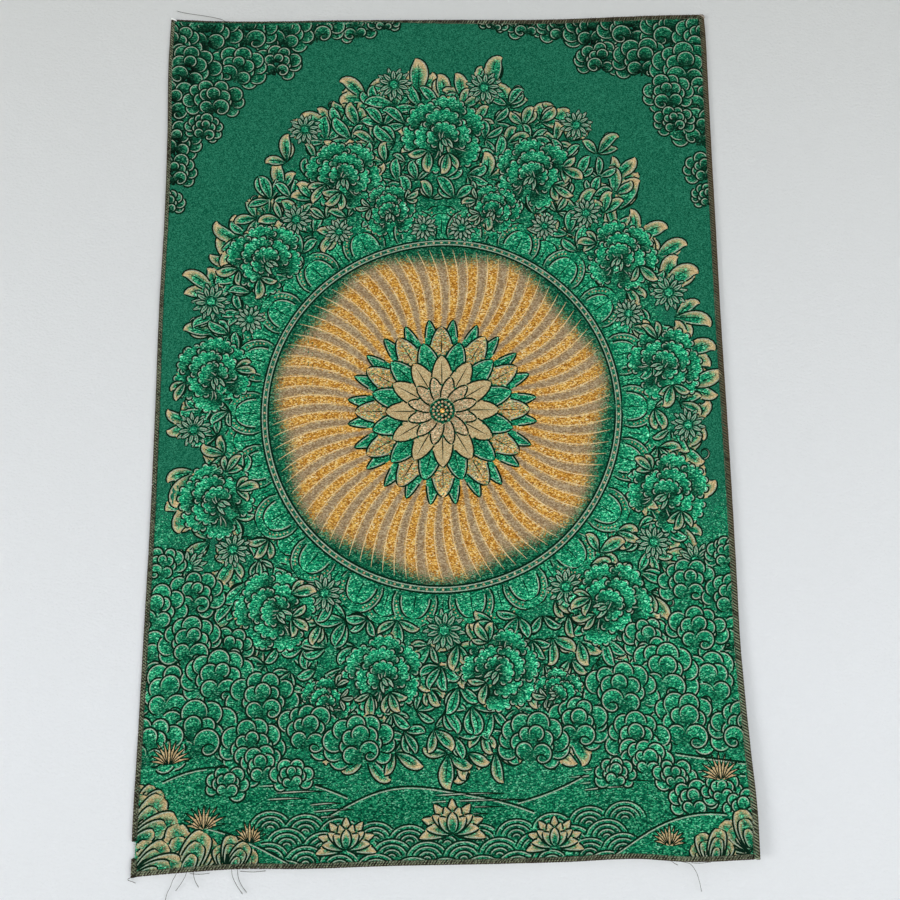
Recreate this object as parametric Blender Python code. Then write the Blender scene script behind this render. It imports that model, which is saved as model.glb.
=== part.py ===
# Woven thangka panel, held to a wall by a wire staple through each top corner.
#
# The panel hangs in the XZ plane, its front faces -Y, and +Z is up. The origin is the
# middle of its top edge. Sizes are in millimetres in the tables and functions below, and
# turn into metres where a mesh is made.
import math

import bpy
import numpy as np

MM = 0.001

# Driving sizes
CLOTH_THICKNESS = 1.0
GAP = 0.3
BAND_WIDTH = 7.0
BAND_WALL = 0.5
BAND_WEB = 0.8
WALL_SETBACK = 4.0
GRID_PITCH = 21.0
THREAD_WIDTH = 0.5

# The panel's outline, to the outside of its overlocked edges, and how far the middle of the
# cloth stands off the wall there. Columns: along the edge, position across it, off the wall.
# LEFT and RIGHT: fall below the origin, distance from the middle, off the wall.
LEFT_EDGE = (
    (2.3, 297.3, 1.7),
    (53.0, 298.3, 1.9),
    (142.0, 296.3, 2.1),
    (247.0, 295.8, 2.3),
    (331.0, 297.4, 2.2),
    (460.0, 297.3, 2.0),
    (583.0, 297.8, 2.5),
    (673.0, 299.4, 2.2),
    (787.0, 301.2, 2.0),
    (850.0, 302.4, 2.4),
    (903.2, 302.0, 2.8),
)
RIGHT_EDGE = (
    (-2.5, 302.3, 1.7),
    (18.0, 302.6, 1.9),
    (92.0, 301.5, 2.3),
    (180.0, 300.1, 2.7),
    (268.0, 299.0, 3.1),
    (336.0, 297.9, 3.6),
    (514.0, 297.0, 4.3),
    (637.0, 295.5, 5.0),
    (690.0, 294.5, 5.8),
    (740.0, 295.2, 6.9),
    (797.0, 297.0, 8.0),
    (853.0, 299.3, 9.0),
    (896.9, 298.6, 9.4),
)
# TOP and BOTTOM: place along X, fall below the origin, off the wall.
TOP_EDGE = (
    (-297.3, 2.3, 1.7),
    (-252.0, 5.0, 2.4),
    (-185.0, 6.2, 3.2),
    (-118.0, 5.4, 3.8),
    (0.0, 5.1, 4.0),
    (152.0, 4.0, 3.7),
    (186.0, 2.2, 3.3),
    (254.0, -1.1, 2.4),
    (302.3, -2.5, 1.7),
)
BOTTOM_EDGE = (
    (-302.0, 903.2, 2.8),
    (-260.0, 900.1, 4.4),
    (-203.0, 897.8, 3.2),
    (-140.0, 898.4, 4.6),
    (-60.0, 897.7, 3.6),
    (54.0, 897.3, 5.2),
    (112.0, 897.1, 4.4),
    (185.0, 895.2, 6.6),
    (228.0, 898.4, 7.6),
    (298.6, 896.9, 9.4),
)

# Soft folds in the field: each is a long low swell or, where its rise is negative, a
# trough. Across and fall place its middle, lean is its angle from upright in degrees.
FOLDS = (
    {"across": -205, "fall": 150, "half_width": 42, "half_length": 150, "lean": 38, "rise": 1.7},
    {"across": 212, "fall": 165, "half_width": 44, "half_length": 160, "lean": -36, "rise": 1.5},
    {"across": -274, "fall": 470, "half_width": 15, "half_length": 330, "lean": 0, "rise": 2.0},
    {"across": -40, "fall": 420, "half_width": 62, "half_length": 290, "lean": 4, "rise": -1.6},
    {"across": -150, "fall": 560, "half_width": 52, "half_length": 240, "lean": -5, "rise": 2.1},
    {"across": 105, "fall": 520, "half_width": 58, "half_length": 270, "lean": 6, "rise": 2.3},
    {"across": 222, "fall": 600, "half_width": 40, "half_length": 190, "lean": 9, "rise": -1.7},
    {"across": -215, "fall": 810, "half_width": 44, "half_length": 90, "lean": 12, "rise": 1.6},
    {"across": 20, "fall": 800, "half_width": 60, "half_length": 120, "lean": -8, "rise": 1.4},
)

# The left overlock is missing between these two falls, and the cloth's edge is drawn in.
BARE_TOP = 870.5
BARE_BOTTOM = 886.0
BARE_INSET = 2.6
BARE_STEP = 0.5

# Wire staples: the middle of the crown and its slope, in the panel's plane.
STAPLE_CROWN = 6.6
STAPLE_LEG = 8.0
STAPLE_WIRE_WIDTH = 1.0
STAPLE_WIRE_DEPTH = 0.7
STAPLE_BEND = 0.6
STAPLES = {
    "staple_left": {"across": -294.3, "fall": 3.2, "slope": -24.0},
    "staple_right": {"across": 300.2, "fall": 0.2, "slope": -38.0},
}

# Loose ends of the overlock thread. Each point is its place along X, its fall below the
# origin and how far off the wall it hangs. The first point lies in the band's edge.
THREAD_TAILS = {
    "overlock_top": (
        ((-236.0, 5.9, 2.6), (-241.0, 3.0, 2.6), (-250.0, 0.2, 2.2), (-261.0, -2.4, 1.6),
         (-273.0, -4.6, 1.2), (-284.0, -6.8, 1.0), (-292.0, -8.9, 0.9)),
    ),
    "overlock_left_end": (
        ((-301.6, 902.3, 2.8), (-302.6, 904.0, 2.8), (-304.6, 904.9, 2.4), (-304.9, 906.0, 2.0),
         (-303.0, 906.9, 1.8), (-300.4, 907.8, 1.6), (-297.6, 909.1, 1.5)),
    ),
    "overlock_bottom": (
        ((-258.1, 899.6, 4.4), (-260.0, 903.0, 4.0), (-262.4, 907.2, 3.2), (-264.4, 912.6, 2.4),
         (-267.2, 918.0, 1.8), (-268.8, 924.0, 1.4), (-269.2, 929.5, 1.2)),
        ((-249.0, 899.2, 4.3), (-250.6, 903.6, 3.6), (-253.8, 909.0, 2.6), (-259.6, 917.0, 1.6)),
        ((-242.9, 898.9, 4.1), (-242.2, 903.8, 3.6), (-240.6, 908.8, 2.8), (-237.6, 914.0, 2.0)),
        ((-206.6, 897.6, 3.2), (-206.2, 902.6, 3.0), (-202.4, 911.6, 2.2), (-196.0, 921.0, 1.5)),
        ((-201.2, 897.5, 3.2), (-200.4, 905.0, 2.8), (-197.2, 912.6, 2.2), (-192.2, 919.4, 1.6)),
        ((213.4, 897.3, 7.3), (215.6, 899.2, 7.0), (220.2, 901.6, 6.4)),
        ((222.0, 898.0, 7.5), (226.4, 898.9, 7.3), (231.4, 900.6, 6.6), (236.8, 907.2, 5.4),
         (240.2, 917.0, 4.2), (242.2, 927.0, 3.2)),
    ),
}

MATERIALS = {
    "brocade": {"color": (0.013, 0.12, 0.065, 1.0), "roughness": 0.55, "metallic": 0.25},
    "overlock_thread": {"color": (0.09, 0.075, 0.045, 1.0), "roughness": 0.8, "metallic": 0.0},
    "staple_steel": {"color": (0.72, 0.72, 0.70, 1.0), "roughness": 0.28, "metallic": 1.0},
}


def remove_scene_objects():
    """Leaves the scene empty."""
    for item in list(bpy.data.objects):
        bpy.data.objects.remove(item, do_unlink=True)


def make_material(name):
    """A Principled material with the named colour, roughness and metallic value."""
    look = MATERIALS[name]
    material = bpy.data.materials.new(name)
    material.use_nodes = True
    shader = material.node_tree.nodes["Principled BSDF"]
    shader.inputs["Base Color"].default_value = look["color"]
    shader.inputs["Roughness"].default_value = look["roughness"]
    shader.inputs["Metallic"].default_value = look["metallic"]
    material.diffuse_color = look["color"]
    return material


def smooth_through(places, values, at):
    """A smooth curve through the values at these places, read at the places in at.

    Between two rows it is the cubic whose slope at each row is that of the line through
    the row's two neighbours."""
    places = np.asarray(places, float)
    values = np.asarray(values, float)
    slopes = np.gradient(values, places)
    at = np.clip(at, places[0], places[-1])
    row = np.clip(np.searchsorted(places, at) - 1, 0, len(places) - 2)
    span = places[row + 1] - places[row]
    u = (at - places[row]) / span
    start = values[row] * (2 * u**3 - 3 * u**2 + 1) + slopes[row] * span * (u**3 - 2 * u**2 + u)
    end = values[row + 1] * (3 * u**2 - 2 * u**3) + slopes[row + 1] * span * (u**3 - u**2)
    return start + end


def side_edge(table, side, down):
    """Points of a side edge at the shares down from 0 to 1, as (x, y, z)."""
    rows = np.array(table)
    fall = rows[0, 0] + down * (rows[-1, 0] - rows[0, 0])
    x = side * smooth_through(rows[:, 0], rows[:, 1], fall)
    y = WALL_SETBACK - smooth_through(rows[:, 0], rows[:, 2], fall)
    return np.stack([x, y, -fall], axis=-1)


def level_edge(table, across):
    """Points of the top or bottom edge at the shares across from 0 to 1, as (x, y, z)."""
    rows = np.array(table)
    x = rows[0, 0] + across * (rows[-1, 0] - rows[0, 0])
    z = -smooth_through(rows[:, 0], rows[:, 1], x)
    y = WALL_SETBACK - smooth_through(rows[:, 0], rows[:, 2], x)
    return np.stack([x, y, z], axis=-1)


def fold_rise(x, z):
    """How far the folds lift the cloth off the wall: each is a bell curve along and across."""
    rise = np.zeros_like(x)
    for fold in FOLDS:
        lean = math.radians(fold["lean"])
        dx = x - fold["across"]
        dz = z + fold["fall"]
        along = dz * math.cos(lean) - dx * math.sin(lean)
        beside = dx * math.cos(lean) + dz * math.sin(lean)
        bell = (along / fold["half_length"]) ** 2 + (beside / fold["half_width"]) ** 2
        rise += fold["rise"] * np.exp(-bell)
    return rise


def cloth_middle(across, down):
    """The middle of the cloth at shares across and down the panel, in millimetres.

    The four edge curves are blended over the panel as a Coons patch, and the folds are
    added, faded out over the last stretch before each edge."""
    across, down = np.broadcast_arrays(across, down)
    left = side_edge(LEFT_EDGE, -1, down)
    right = side_edge(RIGHT_EDGE, 1, down)
    top = level_edge(TOP_EDGE, across)
    bottom = level_edge(BOTTOM_EDGE, across)
    ends = level_edge(TOP_EDGE, np.array([0.0, 1.0])), level_edge(BOTTOM_EDGE, np.array([0.0, 1.0]))
    s = across[..., None]
    t = down[..., None]
    corners = (1 - t) * ((1 - s) * ends[0][0] + s * ends[0][1])
    corners = corners + t * ((1 - s) * ends[1][0] + s * ends[1][1])
    point = (1 - s) * left + s * right + (1 - t) * top + t * bottom - corners
    fade = np.clip(np.minimum(across, 1 - across) / 0.03, 0, 1)
    fade = fade * np.clip(np.minimum(down, 1 - down) / 0.04, 0, 1)
    point[..., 1] -= fade * fold_rise(point[..., 0], point[..., 2])
    return point


WIDTH = TOP_EDGE[-1][0] - TOP_EDGE[0][0]
HEIGHT = LEFT_EDGE[-1][0] - LEFT_EDGE[0][0]
CLOTH_INSET = BAND_WEB + GAP


def spaced(length, extra=()):
    """Grid lines over a length: the cloth's edge, the band's inner line, then even steps."""
    steps = round((length - 2 * BAND_WIDTH) / GRID_PITCH)
    inner = np.linspace(BAND_WIDTH, length - BAND_WIDTH, steps + 1)
    lines = np.concatenate([[CLOTH_INSET], inner, [length - CLOTH_INSET]])
    for value in extra:
        lines = lines[np.abs(lines - value) > GRID_PITCH / 4]
    return np.unique(np.concatenate([lines, extra]))


def down_of(fall):
    """The distance down the left edge at this fall below the origin."""
    return fall - LEFT_EDGE[0][0]


BARE_LINES = tuple(
    down_of(fall)
    for fall in (BARE_TOP, BARE_TOP + BARE_STEP, BARE_BOTTOM - BARE_STEP, BARE_BOTTOM)
)
COLUMNS = spaced(WIDTH)
ROWS = spaced(HEIGHT, BARE_LINES)


def new_object(name, points, faces, material):
    """An object whose mesh has these points, given in millimetres, and these faces."""
    mesh = bpy.data.meshes.new(name)
    mesh.from_pydata([tuple(p) for p in points * MM], [], faces)
    mesh.materials.append(material)
    mesh.update()
    item = bpy.data.objects.new(name, mesh)
    bpy.context.scene.collection.objects.link(item)
    return item


def lattice_faces(rows, columns, start=0, closed=False):
    """Quads between neighbouring rows and columns of points; closed joins the last column
    to the first."""
    faces = []
    for r in range(rows - 1):
        for c in range(columns if closed else columns - 1):
            a = start + r * columns + c
            b = start + r * columns + (c + 1) % columns
            faces.append((a, b, b + columns, a + columns))
    return faces


def make_cloth(material):
    """The woven panel: one sheet of even thickness, drawn in at the bare stretch."""
    across = np.tile(COLUMNS, (len(ROWS), 1))
    bare = (ROWS > BARE_LINES[0] + BARE_STEP / 2) & (ROWS < BARE_LINES[3] - BARE_STEP / 2)
    across[bare, 0] = CLOTH_INSET + BARE_INSET
    middle = cloth_middle(across / WIDTH, (ROWS / HEIGHT)[:, None])
    half = np.array([0.0, CLOTH_THICKNESS / 2, 0.0])
    front = (middle - half).reshape(-1, 3)
    back = (middle + half).reshape(-1, 3)
    rows, columns = across.shape
    count = rows * columns
    faces = [face[::-1] for face in lattice_faces(rows, columns)]
    faces += lattice_faces(rows, columns, count)
    rim = [c for c in range(columns)]
    rim += [r * columns + columns - 1 for r in range(1, rows)]
    rim += [(rows - 1) * columns + c for c in range(columns - 2, -1, -1)]
    rim += [r * columns for r in range(rows - 2, 0, -1)]
    for here, there in zip(rim, rim[1:] + rim[:1]):
        faces.append((here, there, there + count, here + count))
    return new_object("cloth", np.concatenate([front, back]), faces, material)


def band_profile():
    """The overlock's section, as distance in from the outline and distance off the
    cloth's middle: a narrow U with softened outer corners, from lip to lip."""
    inside = CLOTH_THICKNESS / 2 + GAP
    outside = inside + BAND_WALL
    soft = BAND_WALL
    return np.array([
        (BAND_WIDTH, -outside),
        (soft, -outside),
        (0.0, -outside + soft),
        (0.0, outside - soft),
        (soft, outside),
        (BAND_WIDTH, outside),
        (BAND_WIDTH, inside),
        (BAND_WEB, inside),
        (BAND_WEB, -inside),
        (BAND_WIDTH, -inside),
    ])


def make_band(name, edge, start, end, material):
    """An overlocked edge: the U profile carried along an edge of the panel, from one
    distance along it to another."""
    profile = band_profile()
    lines = ROWS if edge in ("left", "right") else COLUMNS
    inner = lines[(lines > start + GAP) & (lines < end - GAP)]
    along = np.concatenate([[start], inner, [end]])[:, None]
    depth = profile[None, :, 0]
    if edge == "left":
        middle = cloth_middle(depth / WIDTH, along / HEIGHT)
    elif edge == "right":
        middle = cloth_middle(1 - depth / WIDTH, along / HEIGHT)
    elif edge == "top":
        middle = cloth_middle(along / WIDTH, depth / HEIGHT)
    else:
        middle = cloth_middle(along / WIDTH, 1 - depth / HEIGHT)
    middle[..., 1] += profile[None, :, 1]
    stations, corners = middle.shape[:2]
    faces = lattice_faces(stations, corners, closed=True)
    last = (stations - 1) * corners
    lips = ((0, 1, 8, 9), (1, 2, 3, 4, 7, 8), (4, 5, 6, 7))
    faces += [tuple(reversed(lip)) for lip in lips]
    faces += [tuple(last + k for k in lip) for lip in lips]
    if edge in ("right", "top"):
        faces = [tuple(reversed(face)) for face in faces]
    return new_object(name, middle.reshape(-1, 3), faces, material)


def make_thread(name, route):
    """A loose thread of square section along a route, used as a guide for a union."""
    points = np.array(route, float)
    points = np.stack([points[:, 0], WALL_SETBACK - points[:, 2], -points[:, 1]], axis=-1)
    heading = np.gradient(points, axis=0)
    heading /= np.linalg.norm(heading, axis=1)[:, None]
    side = np.cross(heading, (0.0, 1.0, 0.0))
    side /= np.linalg.norm(side, axis=1)[:, None]
    rise = np.cross(side, heading)
    half = THREAD_WIDTH / 2
    ring = [side * a + rise * b for a, b in ((half, half), (-half, half), (-half, -half), (half, -half))]
    rings = np.stack([points + offset for offset in ring], axis=1)
    faces = lattice_faces(len(points), 4, closed=True)
    last = 4 * (len(points) - 1)
    faces += [(3, 2, 1, 0), tuple(last + k for k in range(4))]
    item = new_object(name, rings.reshape(-1, 3), faces, None)
    item.hide_render = True
    item.display_type = "WIRE"
    return item


def add_boolean(item, operand, operation):
    """Joins the operand to the item, or cuts it out of the item."""
    modifier = item.modifiers.new(operand.name, "BOOLEAN")
    modifier.operation = operation
    modifier.solver = "EXACT"
    modifier.object = operand


def add_thread_tails(band, material):
    """Joins a band's loose threads to it."""
    for number, route in enumerate(THREAD_TAILS.get(band.name, ()), start=1):
        thread = make_thread(f"guide_{band.name}_thread_{number}", route)
        thread.data.materials.clear()
        thread.data.materials.append(material)
        add_boolean(band, thread, "UNION")


def staple_route():
    """The staple's wire, from one leg's tip over the crown to the other, as distance
    along the crown and distance behind the crown's middle line."""
    reach = (STAPLE_CROWN - STAPLE_WIRE_DEPTH) / 2
    bend = STAPLE_BEND
    low = STAPLE_LEG - STAPLE_WIRE_DEPTH / 2
    turn = [math.radians(angle) for angle in (0, 30, 60, 90)]
    corner = [(-reach + bend - bend * math.cos(a), bend - bend * math.sin(a)) for a in turn]
    half = [(-reach, low)] + corner
    return half + [(-u, v) for u, v in reversed(half)]


def make_staple(name, material):
    """A flat-wire staple: its crown lies in front of the corner, and its legs go back."""
    place = STAPLES[name]
    slope = math.radians(place["slope"])
    along = np.array([math.cos(slope), 0.0, math.sin(slope)])
    across = np.array([-math.sin(slope), 0.0, math.cos(slope)])
    back = np.array([0.0, 1.0, 0.0])
    off_wall = LEFT_EDGE[0][2] if name == "staple_left" else RIGHT_EDGE[0][2]
    front = WALL_SETBACK - off_wall - CLOTH_THICKNESS / 2 - GAP - BAND_WALL
    crown_y = front - GAP - STAPLE_WIRE_DEPTH / 2
    centre = np.array([place["across"], crown_y, -place["fall"]])
    route = np.array(staple_route())
    heading = np.gradient(route, axis=0)
    heading /= np.linalg.norm(heading, axis=1)[:, None]
    normal = np.stack([-heading[:, 1], heading[:, 0]], axis=-1)
    rings = []
    for wide, deep in ((1, 1), (-1, 1), (-1, -1), (1, -1)):
        flat = route + normal * deep * STAPLE_WIRE_DEPTH / 2
        point = centre + flat[:, :1] * along + flat[:, 1:] * back
        rings.append(point + across * wide * STAPLE_WIRE_WIDTH / 2)
    points = np.stack(rings, axis=1)
    faces = [face[::-1] for face in lattice_faces(len(route), 4, closed=True)]
    last = 4 * (len(route) - 1)
    faces += [(0, 1, 2, 3), tuple(last + k for k in (3, 2, 1, 0))]
    return new_object(name, points.reshape(-1, 3), faces, material)


def make_leg_cutter(name, side):
    """A box that leaves a gap all round one leg of a staple."""
    place = STAPLES[name]
    slope = math.radians(place["slope"])
    along = np.array([math.cos(slope), 0.0, math.sin(slope)])
    across = np.array([-math.sin(slope), 0.0, math.cos(slope)])
    reach = side * (STAPLE_CROWN - STAPLE_WIRE_DEPTH) / 2
    middle = np.array([place["across"], 0.0, -place["fall"]]) + along * reach
    half_along = STAPLE_WIRE_DEPTH / 2 + GAP
    half_across = STAPLE_WIRE_WIDTH / 2 + GAP
    points = []
    for y in (-STAPLE_LEG, STAPLE_LEG):
        for a, b in ((-1, -1), (1, -1), (1, 1), (-1, 1)):
            corner = middle + along * a * half_along + across * b * half_across
            points.append(corner + np.array([0.0, y, 0.0]))
    faces = [(0, 1, 2, 3), (7, 6, 5, 4)]
    faces += [(k, k + 4, (k + 1) % 4 + 4, (k + 1) % 4) for k in range(4)]
    label = "outer" if side * place["across"] > 0 else "inner"
    cutter = new_object(f"cutter_{name}_{label}", np.array(points), faces, None)
    cutter.hide_render = True
    cutter.display_type = "WIRE"
    return cutter


def build():
    """Makes the panel, its overlocked edges with their loose threads, and its staples."""
    remove_scene_objects()
    materials = {name: make_material(name) for name in MATERIALS}
    thread = materials["overlock_thread"]
    cloth = make_cloth(materials["brocade"])
    beside = BAND_WIDTH + GAP
    bands = {
        "overlock_left": ("left", 0.0, BARE_LINES[0] - GAP),
        "overlock_left_end": ("left", BARE_LINES[3] + GAP, HEIGHT),
        "overlock_right": ("right", 0.0, HEIGHT),
        "overlock_top": ("top", beside, WIDTH - beside),
        "overlock_bottom": ("bottom", beside, WIDTH - beside),
    }
    made = {name: make_band(name, *place, thread) for name, place in bands.items()}
    for band in made.values():
        add_thread_tails(band, thread)
    for name in STAPLES:
        make_staple(name, materials["staple_steel"])
        side_band = made["overlock_left" if name == "staple_left" else "overlock_right"]
        for side in (-1, 1):
            cutter = make_leg_cutter(name, side)
            add_boolean(side_band, cutter, "DIFFERENCE")
            if cutter.name.endswith("inner"):
                add_boolean(cloth, cutter, "DIFFERENCE")


build()
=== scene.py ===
# %% [markdown]
# # A woven thangka panel, stapled to a wall
#
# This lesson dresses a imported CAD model: one upright sheet of brocade, overlocked on all four
# sides, held flat to a wall by a wire staple through each top corner. The CAD model gives the
# size and place of everything. Here each piece gets its real surface: the cloth with its woven
# figure, the stitches of the overlock, the loose thread ends, the bent wire of the staples.
#
# Blender could model each of these by hand, but a woven panel is made by rules, and so is this
# one: every shape is a formula in two parameters, worked out with numpy as a whole array.

import math

import bpy
import numpy as np
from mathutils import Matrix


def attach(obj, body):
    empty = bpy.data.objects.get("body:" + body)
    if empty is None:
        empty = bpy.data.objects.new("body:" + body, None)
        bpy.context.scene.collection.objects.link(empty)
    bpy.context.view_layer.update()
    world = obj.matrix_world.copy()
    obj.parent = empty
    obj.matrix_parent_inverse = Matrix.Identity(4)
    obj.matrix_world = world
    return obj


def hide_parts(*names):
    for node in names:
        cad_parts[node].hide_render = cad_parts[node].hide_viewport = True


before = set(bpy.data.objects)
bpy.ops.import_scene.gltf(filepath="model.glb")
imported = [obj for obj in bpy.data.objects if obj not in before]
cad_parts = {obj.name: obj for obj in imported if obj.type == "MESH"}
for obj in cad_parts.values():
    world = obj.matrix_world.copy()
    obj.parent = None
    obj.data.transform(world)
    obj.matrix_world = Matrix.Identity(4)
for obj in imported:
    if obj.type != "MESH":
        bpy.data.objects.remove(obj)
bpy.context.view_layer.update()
print("CAD nodes:", ", ".join(sorted(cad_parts)))

# %% [markdown]
# ## The camera
#
# The photograph was taken by hand, a little below the middle of the panel and looking slightly
# up. The camera's place was solved from the panel's four corners, so it is typed in here.

# %% Camera
MM = 0.001
CAMERA_PLACE = (-0.0112, -0.9156, -0.6513)  # metres
CAMERA_TURN = (99.68, 0.837, -1.019)  # degrees

scene = bpy.context.scene
scene.view_settings.view_transform = "Standard"
scene.view_settings.look = "None"


def new_object(name, data):
    """An object that holds this data, linked into the scene."""
    item = bpy.data.objects.new(name, data)
    scene.collection.objects.link(item)
    return item


camera_data = bpy.data.cameras.new("camera")
camera_data.lens = 36.0
camera_data.sensor_width = 36.0
camera_data.clip_start = 0.01
camera = new_object("camera", camera_data)
camera.location = CAMERA_PLACE
camera.rotation_euler = [math.radians(a) for a in CAMERA_TURN]
scene.camera = camera
print("camera at", CAMERA_PLACE)

# %% [markdown]
# ## Helpers for finishes
#
# A finish is a tree of nodes, each of which feeds the next. With these helpers one line adds a
# node, sets it and joins it, so that a finish reads like a recipe.

# %% Node helpers


def linear(red, green, blue):
    """A colour given as 0 to 255 on screen, as the linear numbers a shader works with."""
    share = np.array([red, green, blue]) / 255
    light = np.where(share <= 0.04045, share / 12.92, ((share + 0.055) / 1.055) ** 2.4)
    return (*light.tolist(), 1.0)


def new_material(name):
    """A material with its Principled shader; returns it, its node tree and the shader."""
    material = bpy.data.materials.new(name)
    material.use_nodes = True
    return material, material.node_tree, material.node_tree.nodes["Principled BSDF"]


def join(tree, source, target):
    """Feeds a socket or a plain value into an input socket."""
    if isinstance(source, bpy.types.NodeSocket):
        tree.links.new(source, target)
    else:
        target.default_value = source


def feed(tree, node, **values):
    """Feeds a node's inputs by name, written with _ for a space."""
    for label, value in values.items():
        join(tree, value, node.inputs[label.replace("_", " ")])


def add_node(tree, kind, **values):
    """A shader node; returns its outputs. A name with a capital feeds an input, and a name
    without one is the node's own setting."""
    node = tree.nodes.new(f"ShaderNode{kind}")
    for label, value in values.items():
        if label[0].isupper():
            feed(tree, node, **{label: value})
        else:
            setattr(node, label, value)
    return node.outputs


def math_node(tree, operation, *terms, clamp=False):
    """A Math node on one to three terms; returns its output."""
    output = add_node(tree, "Math", operation=operation, use_clamp=clamp)["Value"]
    for number, term in enumerate(terms):
        join(tree, term, output.node.inputs[number])
    return output


def blend_colour(tree, share, first, second, mode="MIX"):
    """A colour Mix node; returns its output."""
    mix = add_node(tree, "Mix", data_type="RGBA", blend_type=mode, Factor=share, A=first, B=second)
    return mix["Result"]


def colour_ramp(tree, share, stops):
    """A Color Ramp through stops, given as position: screen colour; returns its output."""
    output = add_node(tree, "ValToRGB", Fac=share)["Color"]
    elements = output.node.color_ramp.elements
    for number, (position, colour) in enumerate(stops.items()):
        element = elements[number] if number < 2 else elements.new(position)
        element.position = position
        element.color = linear(*colour)
    return output


def bump(tree, height, strength, distance):
    """A Bump node, distance in metres; returns its normal."""
    return add_node(tree, "Bump", Strength=strength, Distance=distance, Height=height)["Normal"]


# %% [markdown]
# ## The wall
#
# The wall is a plain pale backdrop just behind the cloth, with painted shade that greys it
# towards the top. Seen from behind it lets light and sight through, so that the panel's back
# can be looked at too.

# %% Wall and floor
WALL_FRONT = 4.2
FLOOR_FALL = 1320.0
WALL_TOP = 1900
ROOM_REACH = 3200  # to each side
FLOOR_REACH = 3600  # in front and behind
# painted shade: the wall's colour darkens from the first colour, low down, to the second, at the top, where
# less light falls
WALL_LIT_LOW, WALL_SHADED_TOP = (0.80, 0.82, 0.84, 1.0), (0.65, 0.66, 0.64, 1.0)
WALL_GRAIN = (330.0, 330.0, 460.0)
FLOOR_COLOUR = (0.74, 0.74, 0.72, 1.0)


def paint_wall():
    """Matte off-white with a fine grain, and painted shade that makes it greyer towards the
    top, where less light falls. Transparent from behind and to shadow rays."""
    material, tree, shader = new_material("wall_paint")
    place = add_node(tree, "TexCoord")["Object"]
    stretched = add_node(tree, "Mapping", Vector=place, Scale=WALL_GRAIN)["Vector"]
    grain = add_node(tree, "TexNoise", Vector=stretched, Scale=1.0, Detail=3.0)["Fac"]
    height = add_node(tree, "SeparateXYZ", Vector=place)["Z"]
    share = add_node(tree, "MapRange", Value=height, From_Min=-0.75, From_Max=0.15)["Result"]
    feed(tree, shader, Base_Color=blend_colour(tree, share, WALL_LIT_LOW, WALL_SHADED_TOP), Roughness=0.85,
         Specular_IOR_Level=0.2, Normal=bump(tree, grain, 0.5, 0.0012))
    behind = add_node(tree, "NewGeometry")["Backfacing"]
    shadow = add_node(tree, "LightPath")["Is Shadow Ray"]
    surface = add_node(tree, "MixShader", Fac=math_node(tree, "MAXIMUM", behind, shadow))["Shader"]
    join(tree, shader.outputs["BSDF"], surface.node.inputs[1])
    join(tree, add_node(tree, "BsdfTransparent")["BSDF"], surface.node.inputs[2])
    feed(tree, tree.nodes["Material Output"], Surface=surface)
    return material


def flat_plane(name, first, last, material):
    """A single face across the room between two level edges, given as Y and Z in
    millimetres."""
    near, far = [[(side * ROOM_REACH * MM, y * MM, z * MM) for side in (-1, 1)] for y, z in (first, last)]
    mesh = bpy.data.meshes.new(name)
    mesh.from_pydata([*near, *reversed(far)], [], [(0, 1, 2, 3)])
    mesh.materials.append(material)
    return new_object(name, mesh)


wall = flat_plane("wall_backdrop", (WALL_FRONT, -FLOOR_FALL), (WALL_FRONT, WALL_TOP), paint_wall())
floor_paint, floor_tree, floor_shader = new_material("floor_paint")
feed(floor_tree, floor_shader, Base_Color=FLOOR_COLOUR, Roughness=0.7)
floor = flat_plane("floor_backdrop", (-FLOOR_REACH, -FLOOR_FALL), (FLOOR_REACH, -FLOOR_FALL), floor_paint)
print("wall at y =", WALL_FRONT, "mm, floor at z =", -FLOOR_FALL, "mm")

# %% [markdown]
# ## Light
#
# The room is bright and even. One broad soft light stands to the left, so the right edge, which
# curls furthest off the wall, drops a soft shadow there. A wide weak light fills from the front,
# and a small one by the ceiling glints on the staples. The last lights the panel's back for the
# views from behind the wall.

# %% Lights
LIGHTS = {  # place, what it faces and size in metres, and power in watts
    "key_left": ((-2.4, -1.55, -0.9), (0, 0, -0.66), 1.0, 34),
    "fill_front": ((1.65, -1.95, -0.9), (0.15, 0, -0.7), 1.3, 28),
    "ceiling": ((-0.72, -1.375, 0.97), (-0.29, 0, 0), 0.2, 1.6),
    "back_soft": ((1.2, 2.4, 0.3), (0, 0, -0.45), 1.8, 64),
}
ROOM_COLOUR, ROOM_STRENGTH = (0.93, 0.96, 1.0, 1.0), 0.38


def soft_light(name, place, aim, size, power):
    """A square area light at place that faces aim."""
    data = bpy.data.lights.new(name, "AREA")
    data.size = size
    data.energy = power
    item = new_object(name, data)
    item.location = place
    x, y, z = [a - p for a, p in zip(aim, place)]
    item.rotation_euler = (math.atan2(math.hypot(x, y), -z), 0.0, math.atan2(y, x) - math.pi / 2)


for light_name, light in LIGHTS.items():
    soft_light(light_name, *light)
world = bpy.data.worlds.new("soft_room")
world.use_nodes = True
feed(world.node_tree, world.node_tree.nodes["Background"], Color=ROOM_COLOUR, Strength=ROOM_STRENGTH)
scene.world = world
print("lights:", ", ".join(LIGHTS))

# %% [markdown]
# ## The panel's shape
#
# A cloth that hangs from two corners is never a flat rectangle. The four edges bow in and out by
# a few millimetres, the sides roll off the wall, and long soft folds cross the field. The tables
# are the CAD model's own, so every piece made here lies exactly where the CAD has it. Between
# the four edge curves the sheet is a blend of the curves of opposite edges.

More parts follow.
